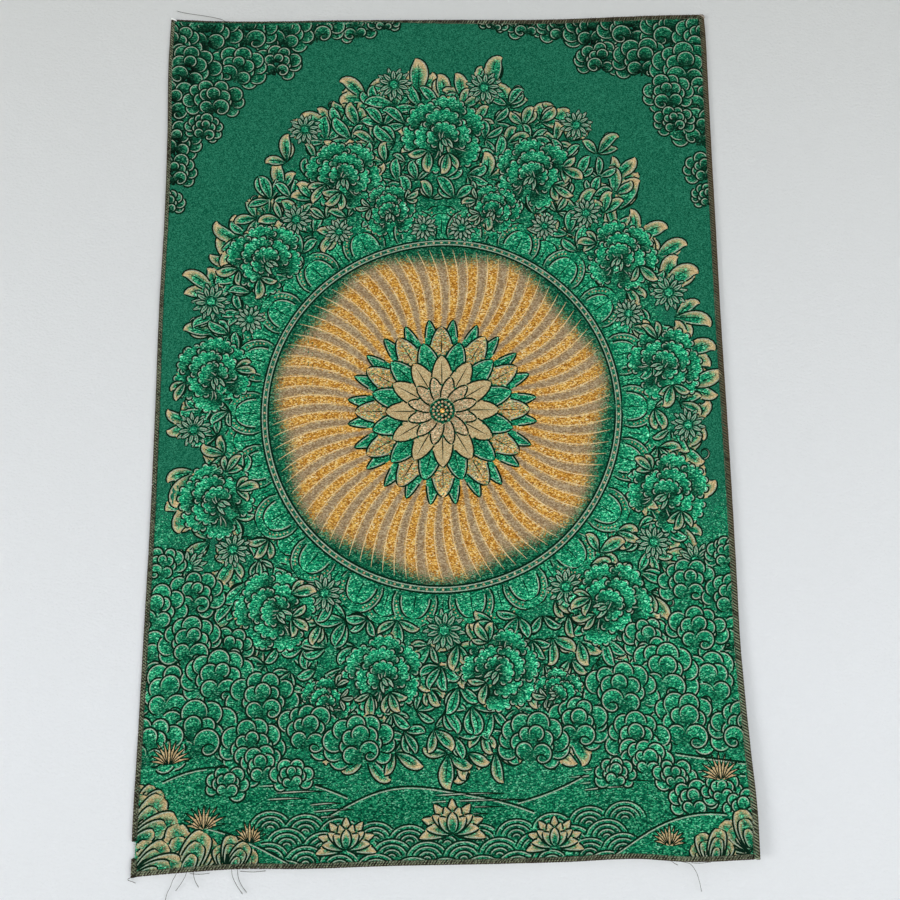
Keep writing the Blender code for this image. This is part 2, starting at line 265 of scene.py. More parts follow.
# %% Tables of the outline and folds, in millimetres
LEFT_EDGE = (  # fall below the origin, distance from the middle, off the wall
    (2.3, 297.3, 1.7), (53, 298.3, 1.9), (142, 296.3, 2.1), (247, 295.8, 2.3),
    (331, 297.4, 2.2), (460, 297.3, 2), (583, 297.8, 2.5), (673, 299.4, 2.2),
    (787, 301.2, 2), (850, 302.4, 2.4), (903.2, 302, 2.8),
)
RIGHT_EDGE = (
    (-2.5, 302.3, 1.7), (18, 302.6, 1.9), (92, 301.5, 2.3), (180, 300.1, 2.7),
    (268, 299, 3.1), (336, 297.9, 3.6), (514, 297, 4.3), (637, 295.5, 5),
    (690, 294.5, 5.8), (740, 295.2, 6.9), (797, 297, 8), (853, 299.3, 9),
    (896.9, 298.6, 9.4),
)
TOP_EDGE = (  # place along X, fall below the origin, off the wall
    (-297.3, 2.3, 1.7), (-252, 5, 2.4), (-185, 6.2, 3.2), (-118, 5.4, 3.8),
    (0, 5.1, 4), (152, 4, 3.7), (186, 2.2, 3.3), (254, -1.1, 2.4),
    (302.3, -2.5, 1.7),
)
BOTTOM_EDGE = (
    (-302, 903.2, 2.8), (-260, 900.1, 4.4), (-203, 897.8, 3.2), (-140, 898.4, 4.6),
    (-60, 897.7, 3.6), (54, 897.3, 5.2), (112, 897.1, 4.4), (185, 895.2, 6.6),
    (228, 898.4, 7.6), (298.6, 896.9, 9.4),
)
FOLDS = (  # middle across, its fall, half width, half length, lean from upright in degrees, rise
    (-205, 150, 42, 150, 38, 1.7), (212, 165, 44, 160, -36, 1.5), (-274, 470, 15, 330, 0, 2.0),
    (-40, 420, 62, 290, 4, -1.6), (-150, 560, 52, 240, -5, 2.1), (105, 520, 58, 270, 6, 2.3),
    (222, 600, 40, 190, 9, -1.7), (-215, 810, 44, 90, 12, 1.6), (20, 800, 60, 120, -8, 1.4),
)
WALL_SETBACK = 4.0
DESIGN_WIDTH = 600.0
DESIGN_HEIGHT = 900.0
CLOTH_INSET = 1.1
CLOTH_THICKNESS = 0.7
BARE_TOP = 870.5
BARE_BOTTOM = 886.0
BARE_INSET = 2.6
FOLD_FADE = {"across": 0.03, "down": 0.04}  # shares of the size over which the folds fade out
PUCKER_HEIGHT, PUCKER_REACH = 0.10, 15

# %% The sheet as a function of two parameters


def smooth_through(places, values, at):
    """Between two rows, the cubic whose slope at each row is that of the line through the
    row's two neighbours."""
    slopes = np.gradient(values, places)
    at = np.clip(at, places[0], places[-1])
    row = np.clip(np.searchsorted(places, at) - 1, 0, len(places) - 2)
    span = places[row + 1] - places[row]
    u = (at - places[row]) / span
    start = values[row] * (2 * u**3 - 3 * u**2 + 1) + slopes[row] * span * (u**3 - 2 * u**2 + u)
    return start + values[row + 1] * (3 * u**2 - 2 * u**3) + slopes[row + 1] * span * (u**3 - u**2)


def edge_columns(table, share):
    """An edge's table at shares of the way along it: its first column, its second, and Y."""
    along, across, off_wall = np.array(table).T
    at = along[0] + share * (along[-1] - along[0])
    return at, smooth_through(along, across, at), WALL_SETBACK - smooth_through(along, off_wall, at)


def side_edge(table, side, down):
    """Points of the left (side -1) or right (side 1) edge at shares down it."""
    fall, x, y = edge_columns(table, down)
    return np.stack([side * x, y, -fall], axis=-1)


def level_edge(table, across):
    """Points of the top or bottom edge at shares across it."""
    x, fall, y = edge_columns(table, across)
    return np.stack([x, y, -fall], axis=-1)


def fold_rise(x, z):
    """The sum over folds of rise * exp(-(along / half length)^2 - (beside / half width)^2)."""
    total = np.zeros_like(x)
    for across, fall, half_width, half_length, degrees, rise in FOLDS:
        lean = math.radians(degrees)
        dx, dz = x - across, z + fall
        along = dz * math.cos(lean) - dx * math.sin(lean)
        beside = dx * math.cos(lean) + dz * math.sin(lean)
        total += rise * np.exp(-((along / half_length) ** 2 + (beside / half_width) ** 2))
    return total


def cloth_middle(across, down):
    """Left and right edges blended across, plus top and bottom blended down, less the blend
    of the corners; then the folds, faded out at the edges."""
    left, right = side_edge(LEFT_EDGE, -1, down), side_edge(RIGHT_EDGE, 1, down)
    top, bottom = level_edge(TOP_EDGE, across), level_edge(BOTTOM_EDGE, across)
    ends = np.array([0.0, 1.0])
    high, low = level_edge(TOP_EDGE, ends), level_edge(BOTTOM_EDGE, ends)
    s, t = across[..., None], down[..., None]
    corners = (1 - t) * ((1 - s) * high[0] + s * high[1]) + t * ((1 - s) * low[0] + s * low[1])
    point = (1 - s) * left + s * right + (1 - t) * top + t * bottom - corners
    fade = np.clip(np.minimum(across, 1 - across) / FOLD_FADE["across"], 0, 1)
    fade = fade * np.clip(np.minimum(down, 1 - down) / FOLD_FADE["down"], 0, 1)
    point[..., 1] -= fade * fold_rise(point[..., 0], point[..., 2])
    return point


def pucker(u, v):
    """Ripples that the overlock's thread tension draws in: a sine along each edge, with an
    uneven phase, that dies away over 15 mm from the edge."""
    side = np.minimum(u + DESIGN_WIDTH / 2, DESIGN_WIDTH / 2 - u)
    level = np.minimum(v, DESIGN_HEIGHT - v)
    along_side = np.sin(v / 4.9 + 1.8 * np.sin(v / 37.0)) + 0.6 * np.sin(v / 9.3 + 1.1)
    along_level = np.sin(u / 5.3 + 1.6 * np.sin(u / 41.0)) + 0.6 * np.sin(u / 8.7 + 0.4)
    ripple = along_side * np.exp(-np.maximum(side, 0) / PUCKER_REACH) * PUCKER_HEIGHT
    return ripple + along_level * np.exp(-np.maximum(level, 0) / PUCKER_REACH) * PUCKER_HEIGHT


def on_cloth(u, v, lift=0.0):
    """The point of the cloth's front at design place u across and v down, raised towards the
    viewer by lift, all in millimetres."""
    u, v, lift = np.broadcast_arrays(np.asarray(u, float), np.asarray(v, float), lift)
    point = cloth_middle((u + DESIGN_WIDTH / 2) / DESIGN_WIDTH, v / DESIGN_HEIGHT)
    point[..., 1] += pucker(u, v) - CLOTH_THICKNESS / 2 - lift
    return point


middle_of_panel = on_cloth(0.0, 450.0)
print("front of the cloth at the middle of the panel, in mm:", np.round(middle_of_panel, 2))

# %% [markdown]
# ## Putting an array into a mesh
#
# Every piece below ends as an array of points and one of faces. This helper writes them into a
# mesh, with two extras that the materials read: a UV map in metres of thread, so the weave runs
# through all pieces at one scale, and colour attributes that say how each point is dyed.

# %% Mesh helpers


def grid_faces(rows, columns, wrap=False, start=0):
    """Quads of a grid of points: each joins (r, c), (r + 1, c), (r + 1, c + 1), (r, c + 1)."""
    r, c = np.meshgrid(np.arange(rows - 1), np.arange(columns if wrap else columns - 1), indexing="ij")
    a, b = r * columns + c, r * columns + (c + 1) % columns
    return (np.stack([a, a + columns, b + columns, b], axis=-1) + start).reshape(-1, 4)


def unit(vectors):
    """Vectors scaled to length 1."""
    return vectors / np.maximum(np.linalg.norm(vectors, axis=-1, keepdims=True), 1e-9)


def renumber(point_sets, face_sets):
    """Faces of several sets of points, renumbered as if the sets were one after another."""
    starts = np.cumsum([0] + [len(points) for points in point_sets[:-1]])
    return [faces + start for faces, start in zip(face_sets, starts)]


def make_piece(name, points, faces, materials, uv=None, material_index=None, **attributes):
    """A smooth-shaded object at the origin. points are in millimetres; faces is an array or a
    list of arrays; uv is per point; each attribute holds four numbers per point."""
    faces = faces if isinstance(faces, list) else [faces]
    corners = np.concatenate([f.ravel() for f in faces]).astype(np.int32)
    sizes = np.concatenate([np.full(len(f), f.shape[1]) for f in faces])
    mesh = bpy.data.meshes.new(name)
    mesh.vertices.add(len(points))
    mesh.vertices.foreach_set("co", (np.asarray(points) * MM).astype(np.float32).ravel())
    mesh.loops.add(len(corners))
    mesh.loops.foreach_set("vertex_index", corners)
    mesh.polygons.add(len(sizes))
    mesh.polygons.foreach_set("loop_start", (np.cumsum(sizes) - sizes).astype(np.int32))
    mesh.polygons.foreach_set("use_smooth", np.ones(len(sizes), bool))
    if material_index is not None:
        mesh.polygons.foreach_set("material_index", np.asarray(material_index, np.int32))
    mesh.update(calc_edges=True)
    if uv is not None:
        layer = mesh.uv_layers.new(name="threads")
        layer.data.foreach_set("uv", (np.asarray(uv)[corners] * MM).astype(np.float32).ravel())
    for label, values in attributes.items():
        attribute = mesh.attributes.new(label, "FLOAT_COLOR", "POINT")
        attribute.data.foreach_set("color", np.asarray(values, np.float32).ravel())
    for material in materials if isinstance(materials, (list, tuple)) else [materials]:
        mesh.materials.append(material)
    print(f"{name}: {len(points)} points, {(sizes - 2).sum()} triangles")
    return new_object(name, mesh)


# %% [markdown]
# ## The brocade material
#
# Real brocade has two looks. The ground is a dense matte weave of dull green yarn. The figure is
# floated over it in flat metallic yarn, and each float is a tiny mirror at its own angle, so the
# cloth glitters. Here the glitter is partly real, from the metal and the floats' rounded tops,
# and partly painted: the brightest floats are painted glints in the colour. Colours change thread
# by thread, never by blending: a leaf that fades from tan to green is a scatter of tan floats
# that thins out.
#
# One material does all of it. It reads the weave's own coordinates from the UV map, and two
# attributes: `dye` says how much tan, gold, cream and near-black there is, and `weave` says how
# much metallic yarn there is, how light or dark the place is, and how much sage yarn.

# %% The shared groups


def new_group(name, inputs, outputs):
    """An empty node group. Each input is given as label: number, or None for a place, and each
    output as label: kind. Returns the group, what it is given and what it puts out."""
    group = bpy.data.node_groups.new(name, "ShaderNodeTree")
    for label, value in inputs.items():
        kind = "NodeSocketVector" if value is None else "NodeSocketFloat"
        socket = group.interface.new_socket(label, in_out="INPUT", socket_type=kind)
        if value is not None:
            socket.default_value = value
    for label, kind in outputs.items():
        group.interface.new_socket(label, in_out="OUTPUT", socket_type=f"NodeSocket{kind}")
    return group, group.nodes.new("NodeGroupInput").outputs, group.nodes.new("NodeGroupOutput").inputs


def make_floats_group():
    """Weft floats: cells that are longer than they are high, each with three random numbers
    and a rounded top. Place is in metres; Length and Height are a float's size in metres."""
    group, given, result = new_group(
        "Weft floats",
        {"Place": None, "Length": 0.0018, "Height": 0.0008},
        {"Random": "Color", "Crown": "Float"},
    )
    size = add_node(group, "CombineXYZ", X=given["Length"], Y=given["Height"], Z=1.0)["Vector"]
    scaled = add_node(group, "VectorMath", operation="DIVIDE")["Vector"]
    join(group, given["Place"], scaled.node.inputs[0])
    join(group, size, scaled.node.inputs[1])
    cells = add_node(group, "TexVoronoi", voronoi_dimensions="2D", Vector=scaled, Scale=1.0, Randomness=0.85)
    join(group, cells["Color"], result["Random"])
    join(group, math_node(group, "SUBTRACT", 1.0, cells["Distance"]), result["Crown"])
    return group


def make_ribs_group():
    """Ribs of a plain weave: the height is |sin| across the weft times a weaker |sin| along
    it, shifted by half a thread in every other row. Pitch is in metres."""
    group, given, result = new_group("Weave ribs", {"Place": None, "Pitch": 0.0006}, {"Height": "Float"})
    parts = add_node(group, "SeparateXYZ", Vector=given["Place"])
    along = math_node(group, "DIVIDE", parts["X"], given["Pitch"])
    across = math_node(group, "DIVIDE", parts["Y"], given["Pitch"])
    row = math_node(group, "MULTIPLY", math_node(group, "FLOOR", across), 0.5)
    shifted = math_node(group, "ADD", math_node(group, "MULTIPLY", along, 0.5), row)
    weft, warp = [
        math_node(group, "ABSOLUTE", math_node(group, "SINE", math_node(group, "MULTIPLY", turns, math.pi)))
        for turns in (across, shifted)
    ]
    weaker = math_node(group, "MULTIPLY_ADD", warp, 0.5, 0.5)
    join(group, math_node(group, "MULTIPLY", weft, weaker), result["Height"])
    return group


def make_handling_group():
    """Handling: wide uneven patches where cloth or metal has dulled, from 0 to 1."""
    group, given, result = new_group("Handling", {"Place": None, "Scale": 9.0}, {"Mask": "Float"})
    noise = add_node(group, "TexNoise", Vector=given["Place"], Scale=given["Scale"], Detail=4.0,
                     Roughness=0.6)
    spread = add_node(group, "MapRange", Value=noise["Fac"], From_Min=0.35, From_Max=0.68)
    join(group, spread["Result"], result["Mask"])
    return group


def floats(tree, place, length, height):
    """The weft floats in a material; returns the group's outputs."""
    return add_node(tree, "Group", node_tree=FLOATS, Place=place, Length=length, Height=height)


def ribs(tree, place, pitch):
    """The height of the weave's ribs in a material."""
    return add_node(tree, "Group", node_tree=RIBS, Place=place, Pitch=pitch)["Height"]


def handled(tree, place, scale, share=1.0):
    """The mask of handled patches in a material, times a share."""
    mask = add_node(tree, "Group", node_tree=HANDLING, Place=place, Scale=scale)["Mask"]
    return math_node(tree, "MULTIPLY", mask, share)


def thread_places(tree):
    """The piece's own UV map, in metres of thread."""
    return add_node(tree, "UVMap", uv_map="threads")["UV"]


def read_attribute(tree, name):
    """A colour attribute's red, green, blue and alpha."""
    given = add_node(tree, "Attribute", attribute_name=name)
    parts = add_node(tree, "SeparateColor", Color=given["Color"])
    return parts["Red"], parts["Green"], parts["Blue"], given["Alpha"]


FLOATS = make_floats_group()
RIBS = make_ribs_group()
HANDLING = make_handling_group()
print("shared groups:", ", ".join(g.name for g in (FLOATS, RIBS, HANDLING)))

# %% The front of the brocade
GROUND_GREEN = {0.0: (2, 74, 52), 0.5: (20, 102, 76), 1.0: (54, 138, 108)}
SAGE_YARN = {0.0: (116, 150, 128), 0.55: (156, 176, 156), 1.0: (200, 202, 182)}
NIGHT_YARN = linear(0, 28, 15)
TAN_YARN = {0.0: (164, 132, 86), 0.5: (192, 166, 120), 1.0: (218, 200, 158)}
CREAM_YARN = {0.0: (128, 98, 66), 0.5: (180, 150, 112), 1.0: (238, 218, 180)}
# The brightest stops of the two metallic ramps, near white, are painted glints: specks in the colour that
# stand for floats catching the light, on top of the real metal and bump.
METALLIC_GREEN_AND_PAINTED_GLINT = {0.0: (0, 46, 32), 0.3: (3, 84, 59), 0.55: (14, 132, 92), 0.78: (58, 196, 138),
                  1.0: (186, 255, 220)}
METALLIC_GOLD_AND_PAINTED_GLINT = {0.0: (104, 58, 16), 0.3: (180, 114, 34), 0.55: (226, 164, 62), 0.76: (252, 212, 118),
                 1.0: (255, 252, 220)}
WORN_GREEN = linear(40, 128, 90)


def thread_by_thread(tree, weight, random, soft=0.1):
    """Turns a smooth weight into yarn or no yarn: on where the float's own random number is
    under the weight, with a soft edge that stands for finer threads."""
    kept = math_node(tree, "MULTIPLY_ADD", random, 1 - soft, soft / 2)
    over = math_node(tree, "DIVIDE", math_node(tree, "SUBTRACT", weight, kept), soft)
    return math_node(tree, "ADD", over, 0.5, clamp=True)


def dye_brocade():
    """The brocade's front: ground, metallic green, tan, gold, cream, sage and near-black yarn,
    each laid over the ones before, then darkened or lightened by the shade. The brightest specks
    of the metallic green and gold are painted glints."""
    material, tree, shader = new_material("brocade_front")
    place = thread_places(tree)
    tan, gold, cream, night = read_attribute(tree, "dye")
    glint, shade, sage = read_attribute(tree, "weave")[:3]
    large, small = floats(tree, place, 0.0016, 0.0009), floats(tree, place, 0.0009, 0.0007)
    coarse = add_node(tree, "SeparateColor", Color=large["Random"])
    fine = add_node(tree, "SeparateColor", Color=small["Random"])
    speck = math_node(tree, "MULTIPLY_ADD", coarse["Red"], 0.7, math_node(tree, "MULTIPLY", fine["Red"], 0.3))
    metallic = math_node(tree, "GREATER_THAN", glint, fine["Green"])
    tan = thread_by_thread(tree, tan, fine["Blue"], soft=0.6)
    gold = thread_by_thread(tree, gold, coarse["Green"], soft=0.35)
    cream = thread_by_thread(tree, cream, fine["Green"])
    night = thread_by_thread(tree, night, coarse["Blue"])
    colour = colour_ramp(tree, fine["Red"], GROUND_GREEN)
    # painted glint: the metallic layers take their colour from these ramps, so their brightest floats are
    # painted highlights
    for share, random, yarn in ((metallic, speck, METALLIC_GREEN_AND_PAINTED_GLINT), (tan, fine["Red"], TAN_YARN),
                                (gold, speck, METALLIC_GOLD_AND_PAINTED_GLINT), (cream, speck, CREAM_YARN),
                                (sage, fine["Red"], SAGE_YARN)):
        colour = blend_colour(tree, share, colour, colour_ramp(tree, random, yarn))
    colour = blend_colour(tree, night, colour, NIGHT_YARN)
    tone = math_node(tree, "MULTIPLY_ADD", shade, 1.5, 0.25)
    grey = add_node(tree, "CombineColor", Red=tone, Green=tone, Blue=tone)["Color"]
    colour = blend_colour(tree, 1.0, colour, grey, mode="MULTIPLY")
    colour = blend_colour(tree, handled(tree, place, 7.0, 0.03), colour, WORN_GREEN)
    metal = math_node(tree, "MAXIMUM", math_node(tree, "MULTIPLY", metallic, 0.55),
                      math_node(tree, "MULTIPLY", gold, 0.6))
    matte = tan
    for yarn in (cream, night, sage):
        matte = math_node(tree, "MAXIMUM", matte, yarn)
    metal = math_node(tree, "MULTIPLY", metal, math_node(tree, "SUBTRACT", 1.0, matte))
    height = math_node(tree, "MULTIPLY_ADD", large["Crown"], 0.6, ribs(tree, place, 0.00055))
    feed(tree, shader, Base_Color=colour, Metallic=metal, Specular_IOR_Level=0.06,
         Roughness=math_node(tree, "MULTIPLY_ADD", metal, -0.45, 0.74),
         Normal=bump(tree, height, 0.35, 0.00025))
    return material


brocade_front = dye_brocade()
print("brocade_front has", len(brocade_front.node_tree.nodes), "nodes")

# %% [markdown]
# The back of a brocade is its working side. Every yarn that isn't needed in front floats loosely
# across it, so it shows long dull streaks of all the colours at once, and none of the glitter.

# %% The back of the brocade
BACK_YARNS = {0.0: (24, 66, 50), 0.4: (44, 88, 66), 0.6: (86, 92, 60), 0.8: (128, 104, 66),
              1.0: (150, 138, 108)}
BACK_WORN = linear(120, 124, 104)


def dye_back():
    """Long weft floats in dulled green, olive and tan, under coarse ribs."""
    material, tree, shader = new_material("brocade_back")
    place = thread_places(tree)
    long, short = floats(tree, place, 0.012, 0.0009), floats(tree, place, 0.003, 0.0007)
    colour = blend_colour(tree, 0.4, colour_ramp(tree, long["Random"], BACK_YARNS),
                          colour_ramp(tree, short["Random"], BACK_YARNS))
    colour = blend_colour(tree, handled(tree, place, 11.0, 0.25), colour, BACK_WORN)
    height = math_node(tree, "ADD", ribs(tree, place, 0.0007), long["Crown"])
    feed(tree, shader, Base_Color=colour, Roughness=0.82, Sheen_Weight=0.15,
         Normal=bump(tree, height, 0.5, 0.0003))
    return material


brocade_back = dye_back()

# %% [markdown]
# ## The sheet itself
#
# The cloth is a closed sheet: a front layer, a back layer and a thin rim. Its grid is fine
# enough for the puckers along the overlock. Where the overlock has come away near the lower left
# corner, the cut edge is drawn in and slightly ragged. The `weave` attribute leaves the upper
# field matte and turns on the metallic yarn where the figure is dense.

# %% Cloth grid and its ground
SHEET_PITCH = 4.4
WREATH_CENTRE = (0.0, 452.0)
DENSE_OVAL = (262.0, 392.0)  # half sizes
DENSE_FOOT = (520, 600)  # how far down it begins, and where it is full


def ease(low, high, value):
    """0 below low, 1 above high, and the smooth cubic 3 s^2 - 2 s^3 between."""
    share = np.clip((value - low) / (high - low), 0, 1)
    return share * share * (3 - 2 * share)


def figured(u, v):
    """Where the figure is dense, 0 to 1: inside the wreath's oval, and low in the panel."""
    du, dv = (u - WREATH_CENTRE[0]) / DENSE_OVAL[0], (v - WREATH_CENTRE[1]) / DENSE_OVAL[1]
    oval = 1 - ease(0.86, 0.98, np.hypot(du, dv))
    low = ease(*DENSE_FOOT, v + 40 * np.cos(u / 60))
    return np.maximum(oval, low)


def cloth_sheet():
    """Design places of the sheet's grid, and the points of its front and its back layer. Two
    close rows lie at each end of the bare stretch, so that the edge steps in there."""
    columns = int(DESIGN_WIDTH / SHEET_PITCH) + 1
    rows = int(DESIGN_HEIGHT / SHEET_PITCH) + 1
    half = DESIGN_WIDTH / 2 - CLOTH_INSET
    u = np.linspace(-half, half, columns)
    bare = [BARE_TOP - 2.3, BARE_TOP - 1.4, BARE_BOTTOM - 3.7, BARE_BOTTOM - 2.8]
    even = np.linspace(CLOTH_INSET, DESIGN_HEIGHT - CLOTH_INSET, rows)
    v = np.unique(np.concatenate([even, bare]))
    u, v = np.meshgrid(u, v)
    inside_bare = (v[:, 0] > bare[0] + 0.2) & (v[:, 0] < bare[3] - 0.2)
    ragged = BARE_INSET + 0.5 * np.sin(v[:, 0] * 2.7)
    u[:, 0] += np.where(inside_bare, ragged, 0.0)
    front, back = on_cloth(u, v), on_cloth(u, v)
    back[..., 1] += CLOTH_THICKNESS
    return u, v, front, back


sheet_u, sheet_v, sheet_front, sheet_back = cloth_sheet()
count = sheet_u.size
front_faces = grid_faces(*sheet_u.shape)
back_faces = grid_faces(*sheet_u.shape, start=count)[:, ::-1]
numbers = np.arange(count).reshape(sheet_u.shape)
rim = np.concatenate([numbers[0], numbers[1:, -1], numbers[-1, -2::-1], numbers[-2:0:-1, 0]])
rim_faces = np.stack([rim, np.roll(rim, -1), np.roll(rim, -1) + count, rim + count], axis=-1)
sheet_uv = np.tile(np.stack([sheet_u, sheet_v], axis=-1).reshape(-1, 2), (2, 1))
glitter = figured(sheet_u, sheet_v).ravel()
ground = np.stack([0.80 * glitter, 0.5 - 0.10 * glitter, 0 * glitter, 0 * glitter], axis=-1)
cloth = make_piece(
    "brocade_sheet",
    np.concatenate([sheet_front.reshape(-1, 3), sheet_back.reshape(-1, 3)]),
    [front_faces, back_faces, rim_faces],
    [brocade_front, brocade_back],
    uv=sheet_uv,
    material_index=np.repeat([0, 1, 1], [len(front_faces), len(back_faces), len(rim_faces)]),
    dye=np.zeros((2 * count, 4)),
    weave=np.tile(ground, (2, 1)),
)
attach(cloth, "root")
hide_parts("cloth")

# %% [markdown]
# ## Drawing the woven figure
#
# The figure is woven in, so it isn't printed flat: every filled form is a patch of metallic
# floats that stands a hair above the ground, and every line is a narrow raised float. Each one
# is built here as geometry that lies on the cloth, 0.05 to 0.2 mm proud of it.
#
# All the drawing is done flat, in design millimetres: u runs across from -300 to 300 and v runs
# down from 0 to 900. Forms overlap like scales, and the last one drawn is on top. To know what
# is hidden, each form first claims its area on a chart of small squares. When the lines are made
# into meshes, a stretch that some later form has claimed is left out.

# %% The chart of claimed squares
SQUARE = 0.6
chart = np.zeros((int(DESIGN_HEIGHT / SQUARE), int(DESIGN_WIDTH / SQUARE)), np.int32)
patches, lines = [], []
LINE_TIP = 0.06  # the share of a line's swell that its tip starts with


def square_of(places):
    """Row and column of the chart's square under each place."""
    column = ((places[..., 0] + DESIGN_WIDTH / 2) / SQUARE).astype(int)
    row = (places[..., 1] / SQUARE).astype(int)
    return np.clip(row, 0, chart.shape[0] - 1), np.clip(column, 0, chart.shape[1] - 1)


def claim(outline):
    """Claims the squares inside a closed outline for a new form, and returns its number. A
    square is inside where a level ray from it crosses the outline an odd number of times."""
    claim.count += 1
    low, high = square_of(outline.min(axis=0)), square_of(outline.max(axis=0))
    rows, columns = np.arange(low[0], high[0] + 1), np.arange(low[1], high[1] + 1)
    v = ((rows + 0.5) * SQUARE)[:, None]
    u = ((columns + 0.5) * SQUARE - DESIGN_WIDTH / 2)[None, :]
    inside = np.zeros((len(rows), len(columns)), bool)
    ahead = np.roll(outline, -1, axis=0)
    spans = (outline[None, :, 1] > v) != (ahead[None, :, 1] > v)
    rise = np.where(ahead[:, 1] == outline[:, 1], 1e-9, ahead[:, 1] - outline[:, 1])
    reach = outline[:, 0] + (v - outline[:, 1]) * (ahead[:, 0] - outline[:, 0]) / rise
    for edge in np.flatnonzero(spans.any(axis=0)):
        inside ^= spans[:, edge, None] & (u < reach[:, edge, None])
    block = chart[rows[0]: rows[-1] + 1, columns[0]: columns[-1] + 1]
    block[inside] = claim.count
    return claim.count


claim.count = 0


def add_patch(group, number, grid, glint, shade, dye=(0, 0, 0, 0), level=1):
    """Keeps a filled grid of places. glint, shade and dye are one value, or one per place;
    a patch of level 0 lies under those of level 1."""
    size = grid.shape[:2]
    dyes = np.broadcast_to(np.asarray(dye, float), size + (4,))
    weaves = np.stack([np.broadcast_to(glint, size), np.broadcast_to(shade, size)], axis=-1)
    patches.append((group, number, grid, dyes, weaves, level))


def add_lines(group, number, runs, half_width, ink, ends):
    """Keeps a stack of lines, shaped (how many, points, 2). A line narrows towards its ends
    as the 0.6 power of the share of its length, over the share ends."""
    share = np.linspace(0, 1, runs.shape[1])
    taper = np.clip(np.minimum(share, 1 - share) / ends, LINE_TIP, 1) ** 0.6
    lines.append((group, number, runs, half_width * taper, ink))


def polar(radius, angle):
    """Places at this radius and heading, 0 to the right and a quarter turn downwards."""
    return np.stack([radius * np.cos(angle), radius * np.sin(angle)], axis=-1)


def turned(places, angle):
    """Places turned by an angle round the origin."""
    c, s = math.cos(angle), math.sin(angle)
    return places @ np.array([[c, s], [-s, c]])


def rings_round(centre, radii, angle):
    """A grid with one ring of places per radius."""
    radii = np.asarray(radii, float)[:, None]
    return centre + polar(radii, angle + 0 * radii)


def outside_in(reach, count):
    """Even steps from -reach to reach, the outermost first."""
    return sorted(np.linspace(-reach, reach, count), key=lambda step: -abs(step))


print("chart of", chart.shape[0], "by", chart.shape[1], "squares of", SQUARE, "mm")

# %% [markdown]
# ## Two shapes that make almost everything
#
# A *blade* is a leaf, a petal or a sepal: a spine that bends evenly, and a width along it that
# swells and comes to a point. A *scalloped form* is a ruffled petal or a flower's heart: an oval
# with round lobes along its rim, each drawn as an arc that hooks inwards where the next begins.

# %% Blades
INNER_GAP = 1.6  # from a blade's outline to the light line inside it


def blade_grid(base, heading, length, width, rows, swell, bend=0.0, curl=0.0, columns=5):
    """Spine: the heading turns by bend * s + curl * s^3. Half width at share s of the spine:
    width / 2 * s^a * (1 - s)^b, scaled to 1 at its widest, where swell is (a, b). The grid is
    shaped (rows, columns, 2)."""
    s = 1 - (1 - np.linspace(0, 1, rows)) ** 1.5
    turn = heading + bend * s + curl * s**3
    step = polar(1.0, turn)
    middles = (step[1:] + step[:-1]) / 2 * np.diff(s)[:, None]
    spine = base + length * np.concatenate([[[0, 0]], np.cumsum(middles, axis=0)])
    a, b = swell
    peak = (a / (a + b)) ** a * (b / (a + b)) ** b
    half = width / 2 * s**a * (1 - s) ** b / peak
    normal = np.stack([-step[:, 1], step[:, 0]], axis=-1)
    t = np.linspace(-1, 1, columns)
    return spine[:, None] + normal[:, None] * (half[:, None] * t)[..., None]


def blade(group, base, heading, length, width, shade, bend=0.0, curl=0.0, tan=0.0, glint=0.92,
          outline=0.85, inner=True, rib=True, swell=(0.7, 0.95), dye=(0, 0, 0, 0), rows=9, rim=0.0, lean=0.0):
    """A leaf or petal. shade is how light it is at its foot and at its tip. tan is how far the
    tan yarn reaches down from the tip, as a share, rim is how much of it runs down both sides,
    and lean is how much further it comes down one."""
    grid = blade_grid(base, heading, length, width, rows, swell, bend, curl, columns=3)
    left, right = grid[:, 0], grid[:, -1]
    number = claim(np.concatenate([left, right[::-1]]))
    s = 1 - (1 - np.linspace(0, 1, len(grid)))[:, None] ** 1.5 + 0 * grid[..., 0]
    across = np.linspace(-1, 1, grid.shape[1])[None, :] + 0 * grid[..., 0]
    side = np.abs(across)
    dyes = np.zeros(grid.shape[:2] + (4,)) + np.asarray(dye, float)
    if tan > 0:
        reach = ease(1 - tan - 0.2, 1 - tan + 0.2, s + 0.3 * side - 0.08 + lean * across)
        dyes[..., 0] = np.maximum(np.maximum(dyes[..., 0], reach), rim * side * ease(0.1, 0.5, s))
    tone = shade[0] + (shade[1] - shade[0]) * s**0.8 + 0.08 * side
    tone = tone + (0.56 - tone) * dyes[..., 0]
    add_patch(group, number, grid, glint * (1 - 0.6 * dyes[..., 0]), np.clip(tone, 0, 1), dyes)
    add_lines(group, number, np.stack([left, right]), outline * 1.08, "dark", ends=0.12)
    middle = grid.shape[1] // 2
    if inner:
        half = np.maximum(np.linalg.norm(left - right, axis=1) / 2, 1e-6)
        reach = 1 - np.clip(INNER_GAP / half, 0, 0.7)
        spine = grid[:, middle]
        runs = np.stack([spine + (edge - spine) * reach[:, None] for edge in (left, right)])
        add_lines(group, number, runs[:, 1:-1], 0.5, "sage", ends=0.3)
    if rib:
        add_lines(group, number, grid[None, : -3 if tan else -2, middle], outline * 0.72, "dark", ends=0.5)
    return number


# %% Scalloped forms


def lobe_centres(centre, radii, turn, count, sweep):
    """Centres of lobes on an oval, at equal steps of its angle over the sweep, and the
    heading in which each bulges out."""
    start, end = sweep
    closed = abs(end - start) > 2 * math.pi - 1e-6
    angle = np.linspace(start, end, count, endpoint=not closed)
    local = polar(1.0, angle) * radii
    out = np.arctan2(np.sin(angle) / radii[1], np.cos(angle) / radii[0]) + turn
    return centre + turned(local, turn), out, closed


